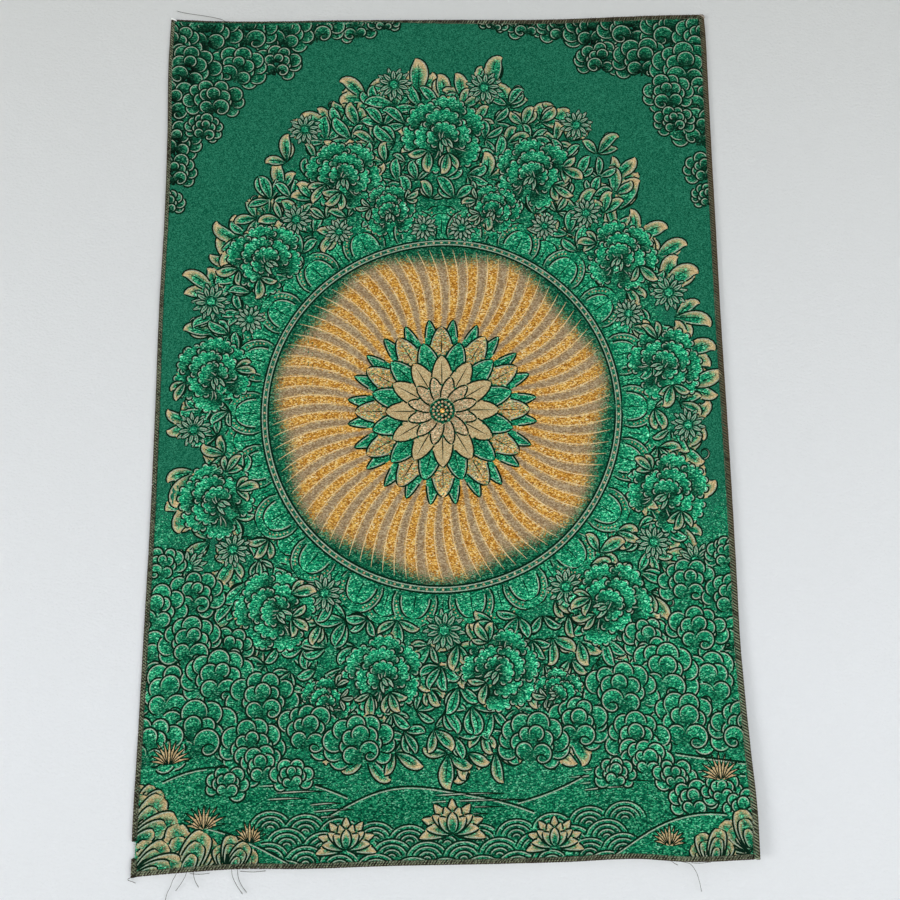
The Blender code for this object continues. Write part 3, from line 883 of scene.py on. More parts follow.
def form_radius(centre, radii, turn, lobes, lobe, angle):
    """How far the form reaches from its centre at each angle: the oval's radius, or the far
    crossing of the ray with a lobe's circle, d cos g + sqrt(lobe^2 - d^2 sin^2 g)."""
    local = angle - turn
    oval = 1 / np.hypot(np.cos(local) / radii[0], np.sin(local) / radii[1])
    away = lobes - np.asarray(centre)
    distance = np.hypot(away[:, 0], away[:, 1])[:, None]
    gap = angle[None, :] - np.arctan2(away[:, 1], away[:, 0])[:, None]
    under = lobe**2 - (distance * np.sin(gap)) ** 2
    far = distance * np.cos(gap) + np.sqrt(np.maximum(under, 0))
    return np.maximum(oval, np.where((under > 0) & (np.cos(gap) > 0), far, 0).max(axis=0))


def scalloped(group, centre, radii, turn, count, lobe, hook, outline, shade, sweep=(0, 2 * math.pi),
              glint=0.92, echo=True, steps=7, petal=False):
    """A ruffled petal, or the heart of a flower. Each lobe's arc runs past its neighbour by
    hook radians while its radius shrinks, and an echo line follows inside it. A heart is
    darkest in the middle, and a petal is darkest at its foot."""
    lobes, out, closed = lobe_centres(centre, radii, turn, count, sweep)
    angle = np.linspace(0, 2 * math.pi, 73)[:-1]
    reach = form_radius(centre, radii, turn, lobes, lobe, angle)
    number = claim(centre + polar(reach, angle))
    level = np.array([0.0, 0.45, 0.8, 1.0])[:, None]
    ring = np.append(angle[::3], 2 * math.pi)
    rim = np.append(reach[::3], reach[0])
    grid = centre + polar(level * rim, ring + 0 * level)
    rise = level**1.5
    if petal:
        rise = ease(-0.25, 0.85, (grid - centre) @ polar(1.0, np.array(turn)) / (radii[0] + lobe))
    add_patch(group, number, grid, glint, shade[0] + (shade[1] - shade[0]) * rise)
    ahead = np.roll(lobes, -1, axis=0)
    apart = np.linalg.norm(ahead - lobes, axis=1)
    if not closed:
        apart[-1] = apart[0]
    half = np.arcsin(np.clip(apart / (2 * lobe), 0.2, 0.98))
    before = np.roll(half, 1)
    if not closed:
        before[0] = half[-1] = 1.5
    share = np.linspace(0, 1, steps)
    bearing = out[:, None] - before[:, None] + (before + half + hook)[:, None] * share
    past = np.clip(bearing - out[:, None] - half[:, None], 0, None) / hook
    radius = lobe * (1 - 0.42 * past)
    slide = polar(lobe - radius, (out + half)[:, None] + 0 * share)
    runs = lobes[:, None] + slide + polar(radius, bearing)
    add_lines(group, number, runs, outline, "dark", ends=0.16)
    if echo:
        inset = min(1.5, lobe * 0.38)
        runs = lobes[:, None] + slide + polar(radius - inset, bearing)
        add_lines(group, number, runs[:, : steps - 1], 0.55, "sage", ends=0.12)
    return number


def disc(group, number, centres, radius, dye, shade, glint=0.3, level=2, sides=8):
    """Round spots, such as beads and seeds, that stand on the patch of the same number."""
    angle = np.linspace(0, 2 * math.pi, sides + 1)
    for centre in np.atleast_2d(centres):
        add_patch(group, number, rings_round(centre, (0, radius), angle), glint, shade, dye, level)


print("shapes: blade, scalloped form, disc")

# %% [markdown]
# ## Blossoms, daisies, leaf sprays and cloud heads
#
# These are the ordinary motifs of brocade from the mountains: full blossoms with ruffled petals
# in tiers, small star-shaped daisies, sprays of leaves with tan tips, and cloud heads, which
# are heaps of round puffs that each roll inwards at one end.

# %% Motifs
chance = np.random.default_rng(58)
full_turn = np.linspace(0, 2 * math.pi, 145)
BLOSSOM_TIERS = (  # distance from the heart, bearings, and how deep and wide a petal is
    (0.78, (-2.3, 2.35, -1.25, 1.3, -0.4, 0.55), 0.33, 0.42),
    (0.36, (-1.5, 1.45, -0.1), 0.36, 0.42),
    (0.10, (0.9, -0.7), 0.26, 0.30),
)
SEPALS = ((2.5, 0.46), (-2.3, 0.42), (3.0, 0.30))  # bearing and length
DAISY_PETALS = 10
LEAF_WIDTH = 0.46  # as a share of the leaf's length
TENDRIL_LENGTH = 48.0
TENDRIL_STEPS = 30
TENDRIL_FILLED = 24  # the steps between whose two lines the ground is filled


def ruffled_petal(group, place, deep, wide, heading, lobe):
    """A petal with six round scallops along its far rim, and folds that run up from its foot:
    each fold is a quarter of a sine wave from the foot towards a notch between scallops."""
    number = scalloped(group, place, (deep, wide), heading, count=6, lobe=lobe, hook=0.7, outline=0.86,
                       shade=(0.02, 1.0), sweep=(-1.6, 1.6), steps=8, petal=True)
    s = np.linspace(0, 1, 9)
    side = np.array([-0.62, -0.3, 0.08, 0.45])[:, None] + chance.uniform(-0.08, 0.08, (4, 1))
    ahead = deep * (-0.95 + chance.uniform(0.7, 1.2, (4, 1)) * s)
    beside = wide * side * np.sin(0.5 * math.pi * s)
    folds = place + turned(np.stack([ahead, beside], axis=-1), heading)
    add_lines(group, number, folds, 0.5, "dark", 0.7)
    aside = 1.15 * polar(1.0, np.array(heading + 1.57))
    add_lines(group, number, folds[:3, 1:] + aside, 0.48, "sage", 0.5)


def blossom(group, centre, size, heading):
    """A full blossom seen from the side: tiers of ruffled petals fan out from a low heart,
    three more close over it to one side, and small sepals show below. heading is where it
    faces."""
    heart = centre - polar(0.30 * size, heading)
    lean = chance.choice([-1.0, 1.0])
    for distance, spreads, deep, wide in BLOSSOM_TIERS:
        for spread in spreads:
            bearing = heading + lean * spread + chance.uniform(-0.1, 0.1)
            squeeze = (1 - 0.07 * abs(spread)) * chance.uniform(0.93, 1.06)
            place = heart + polar(distance * size * squeeze, bearing)
            facing = bearing - 0.12 * lean * spread
            ruffled_petal(group, place, deep * size, wide * size, facing, 0.098 * size)
    for spread, tall in SEPALS:
        blade(group, heart - polar(0.02 * size, heading), heading + lean * spread, tall * size,
              0.15 * size, bend=0.8 * lean * np.sign(spread), shade=(0.1, 0.7), rib=False, outline=0.7)


def daisy(group, centre, size):
    """Narrow dark petals with light rims round a small heart, in two tiers half a petal
    apart."""
    start = chance.uniform(0, 1)
    for tier in (0, 1):
        for k in range(DAISY_PETALS):
            bearing = start + 2 * math.pi * (k + 0.5 * tier) / DAISY_PETALS
            foot = centre + polar(0.16 * size, bearing)
            blade(group, foot, bearing, (0.92 - 0.22 * tier) * size, 0.30 * size, (-0.02, 0.42 + 0.1 * tier),
                  bend=chance.uniform(-0.35, 0.35), rib=False, outline=0.6, swell=(0.8, 0.8), rows=7)
    scalloped(group, centre, (0.13 * size, 0.13 * size), 0.0, count=6, lobe=0.11 * size, hook=0.3,
              outline=0.6, shade=(0.7, 0.9), glint=0.7, echo=False)


def leaf(group, base, heading, length, tan):
    """One leaf with a narrow foot. It bends one way, and its tip hooks back the other way; the
    tan comes down further on the side that it hooks away from."""
    bend = chance.choice([-1.0, 1.0]) * chance.uniform(0.5, 1.0)
    hook = -bend * chance.uniform(1.9, 2.8)
    width = length * LEAF_WIDTH * chance.uniform(0.85, 1.15)
    blade(group, base, heading - bend / 2, length * 1.08, width, bend=bend, curl=hook, tan=tan,
          lean=0.24 * np.sign(bend), shade=(0.0, 0.98), swell=(0.95, 0.72), rows=11)


def leaf_spray(group, base, heading, count, length, tan, spread):
    """Leaves that fan out from one point, the outer ones first and shorter."""
    for share in outside_in(1, count):
        tall = length * (1 - 0.2 * abs(share)) * chance.uniform(0.9, 1.1)
        leaf(group, base, heading + spread * share, tall, tan)


def tendril(group, base, heading, hand):
    """A double line that swings one way, then curls up at its end. hand is the way, 1 or -1."""
    s = np.linspace(0, 1, TENDRIL_STEPS)
    turn = heading + hand * (0.9 * np.sin(math.pi * s * 0.9) - 10.5 * np.clip(s - 0.34, 0, 1) ** 1.5)
    run = base + np.cumsum(polar(1.0, turn) * (TENDRIL_LENGTH / TENDRIL_STEPS), axis=0)
    beside = np.stack([-np.sin(turn), np.cos(turn)], axis=-1) * (3.2 * (1 - s[:, None]) ** 0.7)
    both = np.stack([run, run + beside])
    filled = both[:, :TENDRIL_FILLED]
    number = claim(np.concatenate([filled[0], filled[1][::-1]]))
    add_patch(group, number, np.swapaxes(filled, 0, 1), glint=0.9, shade=0.5)
    add_lines(group, number, both, 0.65, "dark", 0.2)
    add_lines(group, number, (run + beside * 0.5)[None, :-6], 0.42, "sage", 0.3)


def puff(group, centre, radius, heading, roll, hand, tone):
    """A round lobe, dark at its foot and bright at its far rim. Its arc starts two radians
    before the heading and runs round to two past it, then rolls inwards by roll radians."""
    number = claim(centre + polar(radius, full_turn[:-1:8]))
    grid = rings_round(centre, (0, 0.6 * radius, radius), full_turn[::11])
    rise = ease(-0.9, 0.95, (grid - centre) @ polar(1.0, np.array(heading)) / radius)
    add_patch(group, number, grid, glint=0.92, shade=tone + 0.14 + 0.54 * rise)
    turn = np.linspace(-2.0, 2.0 + roll, 12 + int(4 * roll))
    past = np.clip((turn - 2.0) / roll, 0, 1) ** 1.1
    reach = radius * (1 - min(0.36 * roll, 0.8) * past)
    middle = centre + polar(radius - reach, np.array(heading + hand * 2.0))
    add_lines(group, number, (middle + polar(reach, heading + hand * turn))[None], 0.95, "dark", 0.12)
    inner = middle + polar(np.maximum(reach - 1.5, 0.3), heading + hand * turn)
    add_lines(group, number, inner[None, : -2 - int(roll)], 0.5, "sage", 0.2)


def cloud_head(group, centre, size, turn, stretch, tone, rolled):
    """A heap of puffs on a flat foot: an arch of them over a dark middle, a shorter arch inside
    it, one low at one side, and one at the other that rolls up."""
    wide = np.array([stretch, 1.0])
    hand = chance.choice([-1, 1])
    up = turn - math.pi / 2
    number = claim(centre + polar(0.6 * size, full_turn[:-1:9]) * wide)
    grid = centre + rings_round(0, (0, 0.6 * size), full_turn[::9]) * wide
    add_patch(group, number, grid, glint=0.9, shade=0.16 + tone)
    plump = 1.0 if rolled else 1.25
    arch = int(chance.integers(8, 11) - 8 * (plump - 1))
    for count, reach, sweep, small, large in ((arch, 0.66, 2.2, 0.30, 0.41), (5, 0.34, 1.6, 0.25, 0.34)):
        places = up + np.linspace(-sweep, sweep, count) + chance.uniform(-0.13, 0.13, count)
        for bearing in sorted(places, key=lambda a: -abs(a - up)):
            radius = plump * size * chance.uniform(small, large)
            roll, way = chance.uniform(0.2, 2.4), chance.choice([-1, 1])
            puff(group, centre + polar(reach * size, bearing) * wide, radius, bearing, roll, way, tone)
    aside = polar(0.3 * hand * size, turn)
    puff(group, centre - aside + (0, 0.3 * size), 0.3 * size, up - hand, 0.6, -hand, tone)
    puff(group, centre + aside + (0, 0.24 * size), size * chance.uniform(0.32, 0.40), up + 0.5 * hand,
         4.2 if rolled else 0.8, hand, tone)


print("motifs: blossom, daisy, leaf, leaf spray, tendril, cloud head")

# %% [markdown]
# ## The medallion
#
# In the middle, broad rays of gold and dull taupe yarn run out from a rosette, with a slow wave
# in them, and sink into the green before they reach the rim. Each ray is a strip of a polar
# grid: radius and angle are its two parameters, and the wave adds a sine of the radius to the
# angle. Round the rim stands a ring of lotus petals, each one blade inside another.

# %% Rays and rosette
MEDALLION = "woven_medallion"
LOTUS_RING = "woven_lotus_ring"
RAY_INNER, RAY_OUTER = 80.0, 180.0
RAY_PAIRS = 44  # a gold ray and a taupe one
RAY_ROWS = 26  # from the middle out
RAY_CELLS = 3  # across one ray
centre = np.array(WREATH_CENTRE)


def ray_disc(group):
    """Angle = even step + 0.075 sin(3.3 q) where q is the share of the way out."""
    number = claim(centre + polar(RAY_OUTER + 4.0, full_turn[:-1]))
    q = np.linspace(0, 1, RAY_ROWS)[:, None]
    columns = RAY_PAIRS * 2 * RAY_CELLS
    angle = np.linspace(0, 2 * math.pi, columns + 1)[None, :] + 0.075 * np.sin(3.3 * q)
    radius = RAY_INNER * 0.7 + (RAY_OUTER + 3.0 - RAY_INNER * 0.7) * q + 0 * angle
    grid = centre + polar(radius, angle)
    phase = (np.arange(columns + 1) % (2 * RAY_CELLS)) / RAY_CELLS
    gold = np.clip(1.6 * np.sin(math.pi * phase) + 0.88, 0.06, 0.97)[None, :]
    keep = 1 - ease(0.76, 1.0, q + 0.05 * np.sin(7 * angle))
    dyes = np.zeros(grid.shape[:2] + (4,))
    dyes[..., 0] = 0.95 * keep
    dyes[..., 1] = gold * keep
    dyes[..., 2] = np.where(gold < 0.5, 0.97, 1 - gold) * keep
    shade = 0.43 - 0.10 * (1 - gold) * keep - 0.26 * (1 - keep)
    add_patch(group, number, grid, 0.9, shade, dyes, level=0)
    borders = np.arange(0, columns, RAY_CELLS)
    outer = slice(int(RAY_ROWS * 0.35), RAY_ROWS - 1)
    add_lines(group, number, np.swapaxes(grid[outer][:, borders], 0, 1), 0.62, "cream", ends=0.25)


def petal_ring(group, count, start, base, length, width, **look):
    """A ring of blades that point outwards, starting at a share of a step."""
    for k in range(count):
        bearing = 2 * math.pi * (k + start) / count
        blade(group, centre + polar(base, bearing), bearing, length, width, **look)


ray_disc(MEDALLION)
petal_ring(MEDALLION, 24, 0.5, 46, 54, 16, shade=(0.12, 0.72), swell=(0.5, 0.7))
petal_ring(MEDALLION, 12, 0.0, 34, 58, 26, shade=(0.3, 0.6), swell=(0.5, 0.6), glint=0.9,
           dye=(0, 0.55, 0.4, 0))
petal_ring(MEDALLION, 12, 0.5, 22, 54, 24, shade=(0.08, 0.74), swell=(0.5, 0.6))
petal_ring(MEDALLION, 12, 0.0, 12, 48, 22, shade=(0.38, 0.5), swell=(0.5, 0.6), glint=0.1,
           dye=(0.8, 0, 0, 0), inner=False)
petal_ring(MEDALLION, 12, 0.5, 8, 29, 13, shade=(0.4, 0.66), swell=(0.5, 0.6), glint=0.5,
           dye=(0, 0, 0.8, 0), inner=False, rib=False)
heart = claim(centre + polar(13.0, full_turn[:-1:4]))
disc(MEDALLION, heart, centre, 13.0, (0, 0, 0, 0.45), glint=0.9, shade=0.2, level=1, sides=24)
for radius, count, size in ((9.6, 16, 1.25), (5.2, 8, 1.25)):
    beads = centre + polar(radius, 2 * math.pi * np.arange(count) / count)
    disc(MEDALLION, heart, beads, size, (0, 0, 1, 0), shade=0.62)
disc(MEDALLION, heart, centre, 2.6, (0, 1, 0, 0), glint=0.9, shade=0.7)

# %% Lotus petals round the rim
LOTUS_SWELL = (0.30, 0.42)
LOTUS_PETALS = 22
LOTUS_WIDTH = 47.0
RIM_INSIDE, RIM_OUTSIDE = RAY_OUTER + 1.5, RAY_OUTER + 10.0
RIM_LINES = ((9.6, 0.9, "dark"), (2.0, 0.9, "dark"), (7.9, 0.5, "sage"), (3.7, 0.5, "sage"))
RIM_BEADS = 140


def lotus_petal(group, base, heading, length, width):
    """A full petal with a double rim, beads between its two lines, and a rib in the middle."""
    small = (length * 0.80, width * 0.68)
    outer = blade_grid(base, heading, length, width, 12, LOTUS_SWELL)
    blade(group, base, heading, length, width, swell=LOTUS_SWELL, shade=(0.02, 0.6), rib=False)
    inner = blade_grid(base, heading, *small, 12, LOTUS_SWELL)
    number = blade(group, base, heading, *small, swell=LOTUS_SWELL, shade=(0.26, 0.84))
    beads = np.concatenate([(0.42 * outer[4:10, side] + 0.58 * inner[4:10, side]) for side in (0, -1)])
    disc(group, number - 1, beads, 0.85, (0, 0, 1, 0), shade=0.55)


for start, reach in ((0.5, 46.0), (0.0, 42.0)):
    for k in range(LOTUS_PETALS):
        bearing = 2 * math.pi * (k + start) / LOTUS_PETALS
        lotus_petal(LOTUS_RING, centre + polar(RAY_OUTER + 3.0, bearing), bearing, reach, LOTUS_WIDTH)
band = rings_round(centre, (RIM_INSIDE, RIM_OUTSIDE), full_turn)
rim = claim(np.concatenate([band[1], band[0][::-1]]))
add_patch(LOTUS_RING, rim, band, glint=0.6, shade=0.3)
for radius, width, ink in RIM_LINES:
    add_lines(LOTUS_RING, rim, (centre + polar(RAY_OUTER + radius, full_turn))[None], width, ink, 0.001)
beads = centre + polar(RAY_OUTER + 5.8, 2 * math.pi * np.arange(RIM_BEADS) / RIM_BEADS)
disc(LOTUS_RING, rim, beads, 1.25, (0, 0, 1, 0), shade=0.5)
print("medallion and lotus ring:", claim.count, "forms")

# %% [markdown]
# ## The wreath
#
# An oval wreath stands round the medallion. It is planted from the outside in, so that every
# leaf's tip shows over the base of the one behind it. Leaves on the outline are long and
# tan-tipped against the plain field. Between them, sprays of shorter leaves are set on a
# hexagonal lattice, turned outwards with some scatter. Then come daisies and blossoms, and last
# a few sprays whose tips lie over the blossoms' edges.

# %% Leaves, daisies and blossoms of the wreath
LEAVES, DAISY_PIECE, BLOSSOM_PIECE = "woven_leaves", "woven_daisies", "woven_blossoms"
WREATH = np.array([264.0, 384.0])  # half width and half height of the oval
WREATH_FOOT = 800  # nothing is planted lower down
OUTLINE_SPRAYS = 62
SPRAY_SPACING = 25.0
BLOSSOMS = (  # across, down, size; each but the middle ones has a twin on the other side
    (0, 130, 44), (104, 178, 40), (196, 276, 38), (246, 402, 38), (240, 536, 37), (178, 652, 38),
    (64, 712, 38), (58, 222, 27), (120, 742, 24),
)
DAISIES = (
    (52, 82, 20), (150, 132, 18), (160, 236, 17), (246, 330, 20), (204, 352, 16), (258, 470, 18),
    (216, 592, 18), (262, 612, 19), (122, 640, 19), (0, 676, 21), (22, 250, 15), (112, 250, 15),
)


def outward(place):
    """Heading away from the wreath's middle."""
    away = np.asarray(place, float) - centre
    return math.atan2(away[1], away[0])


def plant_outline():
    """Leaf sprays and tendrils along the oval's edge."""
    for k in range(OUTLINE_SPRAYS):
        angle = 2 * math.pi * (k + 0.5) / OUTLINE_SPRAYS + chance.uniform(-0.02, 0.02)
        spot = centre + WREATH * polar(chance.uniform(0.91, 0.99), np.array(angle))
        heading = outward(spot)
        if spot[1] > WREATH_FOOT:
            continue
        if k % 4 == 1:
            tendril(LEAVES, spot, heading + chance.uniform(-0.4, 0.4), hand=1 if k % 8 == 1 else -1)
        leaf_spray(LEAVES, spot, heading + chance.uniform(-0.5, 0.5), 3,
                   chance.uniform(30, 42), tan=chance.uniform(0.16, 0.36), spread=0.75)


def plant_body():
    """Leaf sprays on a hexagonal lattice between the lotus ring and the oval's edge."""
    rows, columns = np.meshgrid(np.arange(-22, 23), np.arange(-15, 16), indexing="ij")
    u = (columns + 0.5 * (rows % 2)) * SPRAY_SPACING
    v = centre[1] + rows * SPRAY_SPACING * 0.866
    spots = np.stack([u, v], axis=-1).reshape(-1, 2) + chance.uniform(-3.5, 3.5, (u.size, 2))
    reach = np.hypot(*((spots - centre) / WREATH).T)
    ring = np.hypot(*(spots - centre).T)
    kept = (reach < 0.95) & (ring > RAY_OUTER + 40) & (spots[:, 1] < WREATH_FOOT)
    spots, reach = spots[kept], reach[kept]
    for spot in spots[np.argsort(reach)[::-1]]:
        swirl = 0.6 * math.sin(spot[0] / 31.0) + 0.6 * math.cos(spot[1] / 27.0) + chance.normal(0, 0.5)
        leaf_spray(LEAVES, spot, outward(spot) + swirl, int(chance.integers(3, 5)), chance.uniform(22, 31),
                   tan=chance.uniform(0.14, 0.34) if chance.random() < 0.5 else 0.0, spread=1.05)
    return len(spots)


def on_both_sides(table):
    """The rows of a table, and a twin at -across of each row that isn't in the middle."""
    return [(side * row[0], *row[1:]) for row in table for side in ((1, -1) if row[0] else (1,))]


plant_outline()
planted = plant_body()
print("wreath:", planted, "sprays inside the outline;", claim.count, "forms so far")
for across, down, size in on_both_sides(DAISIES):
    daisy(DAISY_PIECE, (across, down) + chance.uniform(-3, 3, 2), size)
for across, down, size in on_both_sides(BLOSSOMS):
    heading = outward((across, down))
    upward = math.atan2(-0.8 + 0.6 * math.sin(heading), 0.9 * math.cos(heading)) + chance.uniform(-0.45, 0.45)
    blossom(BLOSSOM_PIECE, (across, down), size * chance.uniform(0.96, 1.04), upward)
    for turn in chance.choice([-2.5, -1.6, 1.4, 2.2, 3.1], 2, replace=False):
        spot = np.array([across, down]) + polar(0.72 * size, np.array(upward + turn))
        facing = upward + turn + chance.uniform(-0.3, 0.3)
        leaf_spray(BLOSSOM_PIECE, spot, facing, 3, 0.6 * size, tan=0.28, spread=0.7)
print("daisies and blossoms:", claim.count, "forms so far")

# %% [markdown]
# ## Clouds, hills and waves
#
# Cloud heads pile up in the two upper corners, and again low down at the sides. The foot of the
# panel is hills and water: smooth hill lines, rows of scale-shaped waves with water lilies on
# them, tan rocks with tufts of grass at the corners, and long streaks of mist.

# %% Clouds
UPPER_CLOUDS = (  # across, down, size, for the right corner
    (96, 8, 20), (136, 12, 24), (172, 18, 27), (60, 6, 16), (214, 16, 30), (262, 18, 32), (294, 30, 28),
    (180, 52, 24), (226, 58, 28), (276, 64, 32), (294, 104, 28), (252, 98, 26), (290, 146, 27),
    (262, 132, 18), (294, 186, 22), (296, 218, 17),
)
LOWER_CLOUDS = (
    (288, 608, 20), (248, 638, 24), (292, 650, 26), (212, 694, 22), (294, 700, 29), (254, 684, 26),
    (270, 734, 32), (222, 726, 30), (178, 744, 30), (240, 776, 34), (292, 780, 30), (132, 776, 29),
    (84, 790, 28), (188, 790, 28),
)


def cloud_bank(group, table, side, tone, rolled=True):
    """Cloud heads from a table, the last ones on top."""
    for across, down, size in table:
        spot = (side * across, down) + chance.uniform(-3, 3, 2)
        cloud_head(group, spot, size * chance.uniform(0.94, 1.08), side * chance.uniform(-0.3, 0.3),
                   chance.uniform(1.2, 1.5), tone + chance.uniform(-0.04, 0.08), rolled)


for side in (1, -1):
    cloud_bank("woven_clouds", UPPER_CLOUDS, side, -0.28)
    cloud_bank("woven_clouds", LOWER_CLOUDS, side, -0.02)

# %% Hills, waves, lilies, rocks and grass
SEA = "woven_sea"
HILL_FOOT = 905  # just below the panel
MIST_BANDS = 4
WAVE_SQUASH = np.array([1, 0.82])  # a wave is an upright half circle, squashed
LILY_ROWS = ((7, 1.35, 1.0, 0.34), (6, 1.1, 0.80, 0.32), (3, 0.55, 0.62, 0.34))
SLAB_LAYERS = ((1.0, 0.85, 0.12), (0.76, 0.6, 0.06), (0.5, 0.35, 0.16))  # size, tan at the rim, at the tip
SLAB_SWELL = (0.32, 0.28)


def hill(group, middle, top, half_width, shade):
    """A hill: its crown falls from the top as 60 tanh((x / half_width)^2), with a slight
    wave."""
    across = np.linspace(-1.4, 1.4, 41) * half_width
    crown = top + 60 * np.tanh((across / half_width) ** 2) + 2.5 * np.sin(across / 23.0)
    ridge = np.stack([middle + across, crown], axis=-1)
    foot = [(middle + across[-1], HILL_FOOT), (middle + across[0], HILL_FOOT)]
    number = claim(np.concatenate([ridge, foot]))
    level = np.linspace(0, 1, 9)[:, None]
    grid = np.stack([middle + across + 0 * level, crown + (HILL_FOOT - crown) * level], axis=-1)
    add_patch(group, number, grid, glint=0.97, shade=shade - 0.18 * level)
    add_lines(group, number, ridge[None], 0.9, "dark", 0.02)
    add_lines(group, number, ridge[None] + (0, 1.8), 0.5, "sage", 0.02)


def streaks(group, across, down, length):
    """Long thin bands of mist: pairs of level lines that close in a point."""
    s = np.linspace(0, 1, 15)
    for k in range(MIST_BANDS):
        reach = length * (1 - 0.22 * abs(k - 1)) * chance.uniform(0.8, 1.1)
        wide = 2.3 * (1 - s**2)
        start = np.array([across - 0.35 * reach + chance.uniform(-8, 8), down + 6.2 * k])
        base = start + np.stack([reach * s, -1.2 * np.sin(2.6 * s)], axis=-1)
        aside = np.stack([0 * s, wide], axis=-1) / 2
        add_lines(group, claim.count, np.stack([base - aside, base + aside]), 0.55, "dark", 0.15)
        add_lines(group, claim.count, base[None, :-2], 0.5, "sage", 0.15)


def wave_scale(group, place, size):
    """Four half rings, one inside another, over a form that hides what is behind it."""
    angle = np.linspace(-math.pi, 0, 17)
    level = np.array([0.0, 0.35, 0.7, 1.0])
    radii = size * np.array([1.0, 0.74, 0.48, 0.24])
    grid, rings, inside = [place + rings_round(0, reach, angle) * WAVE_SQUASH
                           for reach in (level * size, radii, radii - 1.7)]
    number = claim(rings[0])
    add_patch(group, number, grid, glint=0.92, shade=0.10 + 0.44 * level[:, None])
    add_lines(group, number, rings, 0.8, "dark", 0.1)
    add_lines(group, number, inside[:, 1:-1], 0.45, "sage", 0.2)


def lily(group, place, size):
    """A water lily from the side: pointed petals with tan tips in three rows."""
    for count, reach, length, wide in LILY_ROWS:
        for spread in outside_in(reach, count):
            blade(group, place, -math.pi / 2 + spread, size * length, size * wide, bend=0.5 * spread,
                  tan=0.34, shade=(0.05, 0.7), swell=(0.6, 0.6), rib=False)


def rock(group, place, size, turn):
    """Four rounded slabs that fan out. Each is green with a tan rim, and has two smaller ones
    on it."""
    for spread in outside_in(0.62, 4):
        heading = turn + spread + chance.uniform(-0.08, 0.08)
        tall = size * (1 - 0.25 * abs(spread)) * chance.uniform(0.88, 1.08)
        for share, rim, tan in SLAB_LAYERS:
            blade(group, place, heading, tall * share, 0.54 * size * share, bend=0.5 * spread, tan=tan,
                  rim=rim, curl=0.15, swell=SLAB_SWELL, shade=(0.0, 0.5), rib=False, outline=0.9, rows=12)


def grass(group, place, size):
    """A tuft of narrow tan blades."""
    for spread in outside_in(1.15, 11):
        tall = size * (1 - 0.14 * abs(spread)) * chance.uniform(0.85, 1.1)
        blade(group, place, -math.pi / 2 + spread, tall, 2.9, bend=0.4 * spread, dye=(0.85, 0, 0.3, 0),
              shade=(0.1, 0.42), rib=False, inner=False, outline=0.5, swell=(0.4, 0.8))


for middle, top, half_width, shade in ((-210, 806, 150, 0.37), (226, 800, 160, 0.38), (-20, 828, 150, 0.35)):
    hill(SEA, middle, top, half_width, shade)
for across, down, length in ((-150, 818, 70), (150, 816, 84), (-112, 842, 46), (264, 812, 50), (12, 836, 90)):
    streaks(SEA, across, down, length)
cloud_bank(SEA, ((196, 808, 20), (226, 820, 16), (168, 824, 15)), 1, 0.04, rolled=False)
cloud_bank(SEA, ((176, 806, 19), (146, 818, 15), (208, 820, 16)), -1, 0.04, rolled=False)
for row, down in enumerate(np.arange(872, 922, 14.5)):  # rows of waves, each half a wave aside
    for step in range(-9, 10):
        across = (step + 0.5 * (row % 2)) * 34.0 + chance.uniform(-2, 2)
        if abs(across) < 196 - 12 * (row % 2):
            wave_scale(SEA, (across, down + 9 * math.cos(across / 62.0)), 21.0)
for across, down, size in ((-96, 884, 30), (6, 872, 33), (104, 886, 29)):
    lily(SEA, (across, down), size)
hill(SEA, 292, 822, 80, 0.40)
cloud_bank(SEA, ((240, 846, 18), (270, 836, 15), (286, 852, 17)), 1, 0.04, rolled=False)
hill(SEA, 262, 856, 120, 0.42)
hill(SEA, -250, 856, 110, 0.36)
for side, down in ((-1, 800), (1, 826)):
    grass(SEA, (side * 268, down), 26)
for across, down, size in ((-232, 862, 26), (-188, 876, 20), (214, 886, 20)):
    grass(SEA, (across, down), size)
for across, down, size, turn in ((-296, 846, 34, -0.9), (-300, 872, 52, -0.75), (-250, 904, 50, -1.45),
                                 (-206, 902, 34, -1.3), (-296, 902, 46, -0.5), (294, 890, 40, -2.2),
                                 (256, 904, 34, -1.7)):
    rock(SEA, (across, down), size, turn)
print("the whole figure:", claim.count, "forms,", len(lines), "stacks of lines")

# %% [markdown]
# ## From the drawing to meshes
#
# Now the drawing is laid on the cloth. A patch keeps the cells whose middle its form still owns
# on the chart. A line becomes a low ridge: three points at each place along it, the outer two
# close to the cloth and the middle one raised. One mesh holds each part of the figure.

# %% Lay the figure on the cloth
INKS = {  # dye, weave, height at the sides, and how much higher the middle is
    "dark": ((0, 0, 0, 1.0), (0, 0.5, 0), 0.10, 0.10),
    "sage": ((0, 0, 0, 0), (0, 0.5, 1.0), 0.12, 0.0),
    "cream": ((1.0, 0, 0, 0), (0.1, 0.72, 0), 0.11, 0.08),
}
PATCH_LIFT = 0.05
CUT_SIZE = 3.2  # quads with a longer diagonal are cut where they are partly hidden
MARGIN = 2.6  # the overlock covers this much
PANEL_LIMITS = ((MARGIN - DESIGN_WIDTH / 2, MARGIN), (DESIGN_WIDTH / 2 - MARGIN, DESIGN_HEIGHT - MARGIN))
BARE_STRETCH = {"inset": 4.4, "top": BARE_TOP - 3.5, "bottom": BARE_BOTTOM + 0.5}


def held_on_panel(places):
    """Places moved inside the overlock's line where they lie outside it."""
    held = np.clip(places, *PANEL_LIMITS)
    bare = (held[..., 1] > BARE_STRETCH["top"]) & (held[..., 1] < BARE_STRETCH["bottom"])
    inset = np.maximum(held[..., 0], BARE_STRETCH["inset"] - DESIGN_WIDTH / 2)
    held[..., 0] = np.where(bare, inset, held[..., 0])
    return held


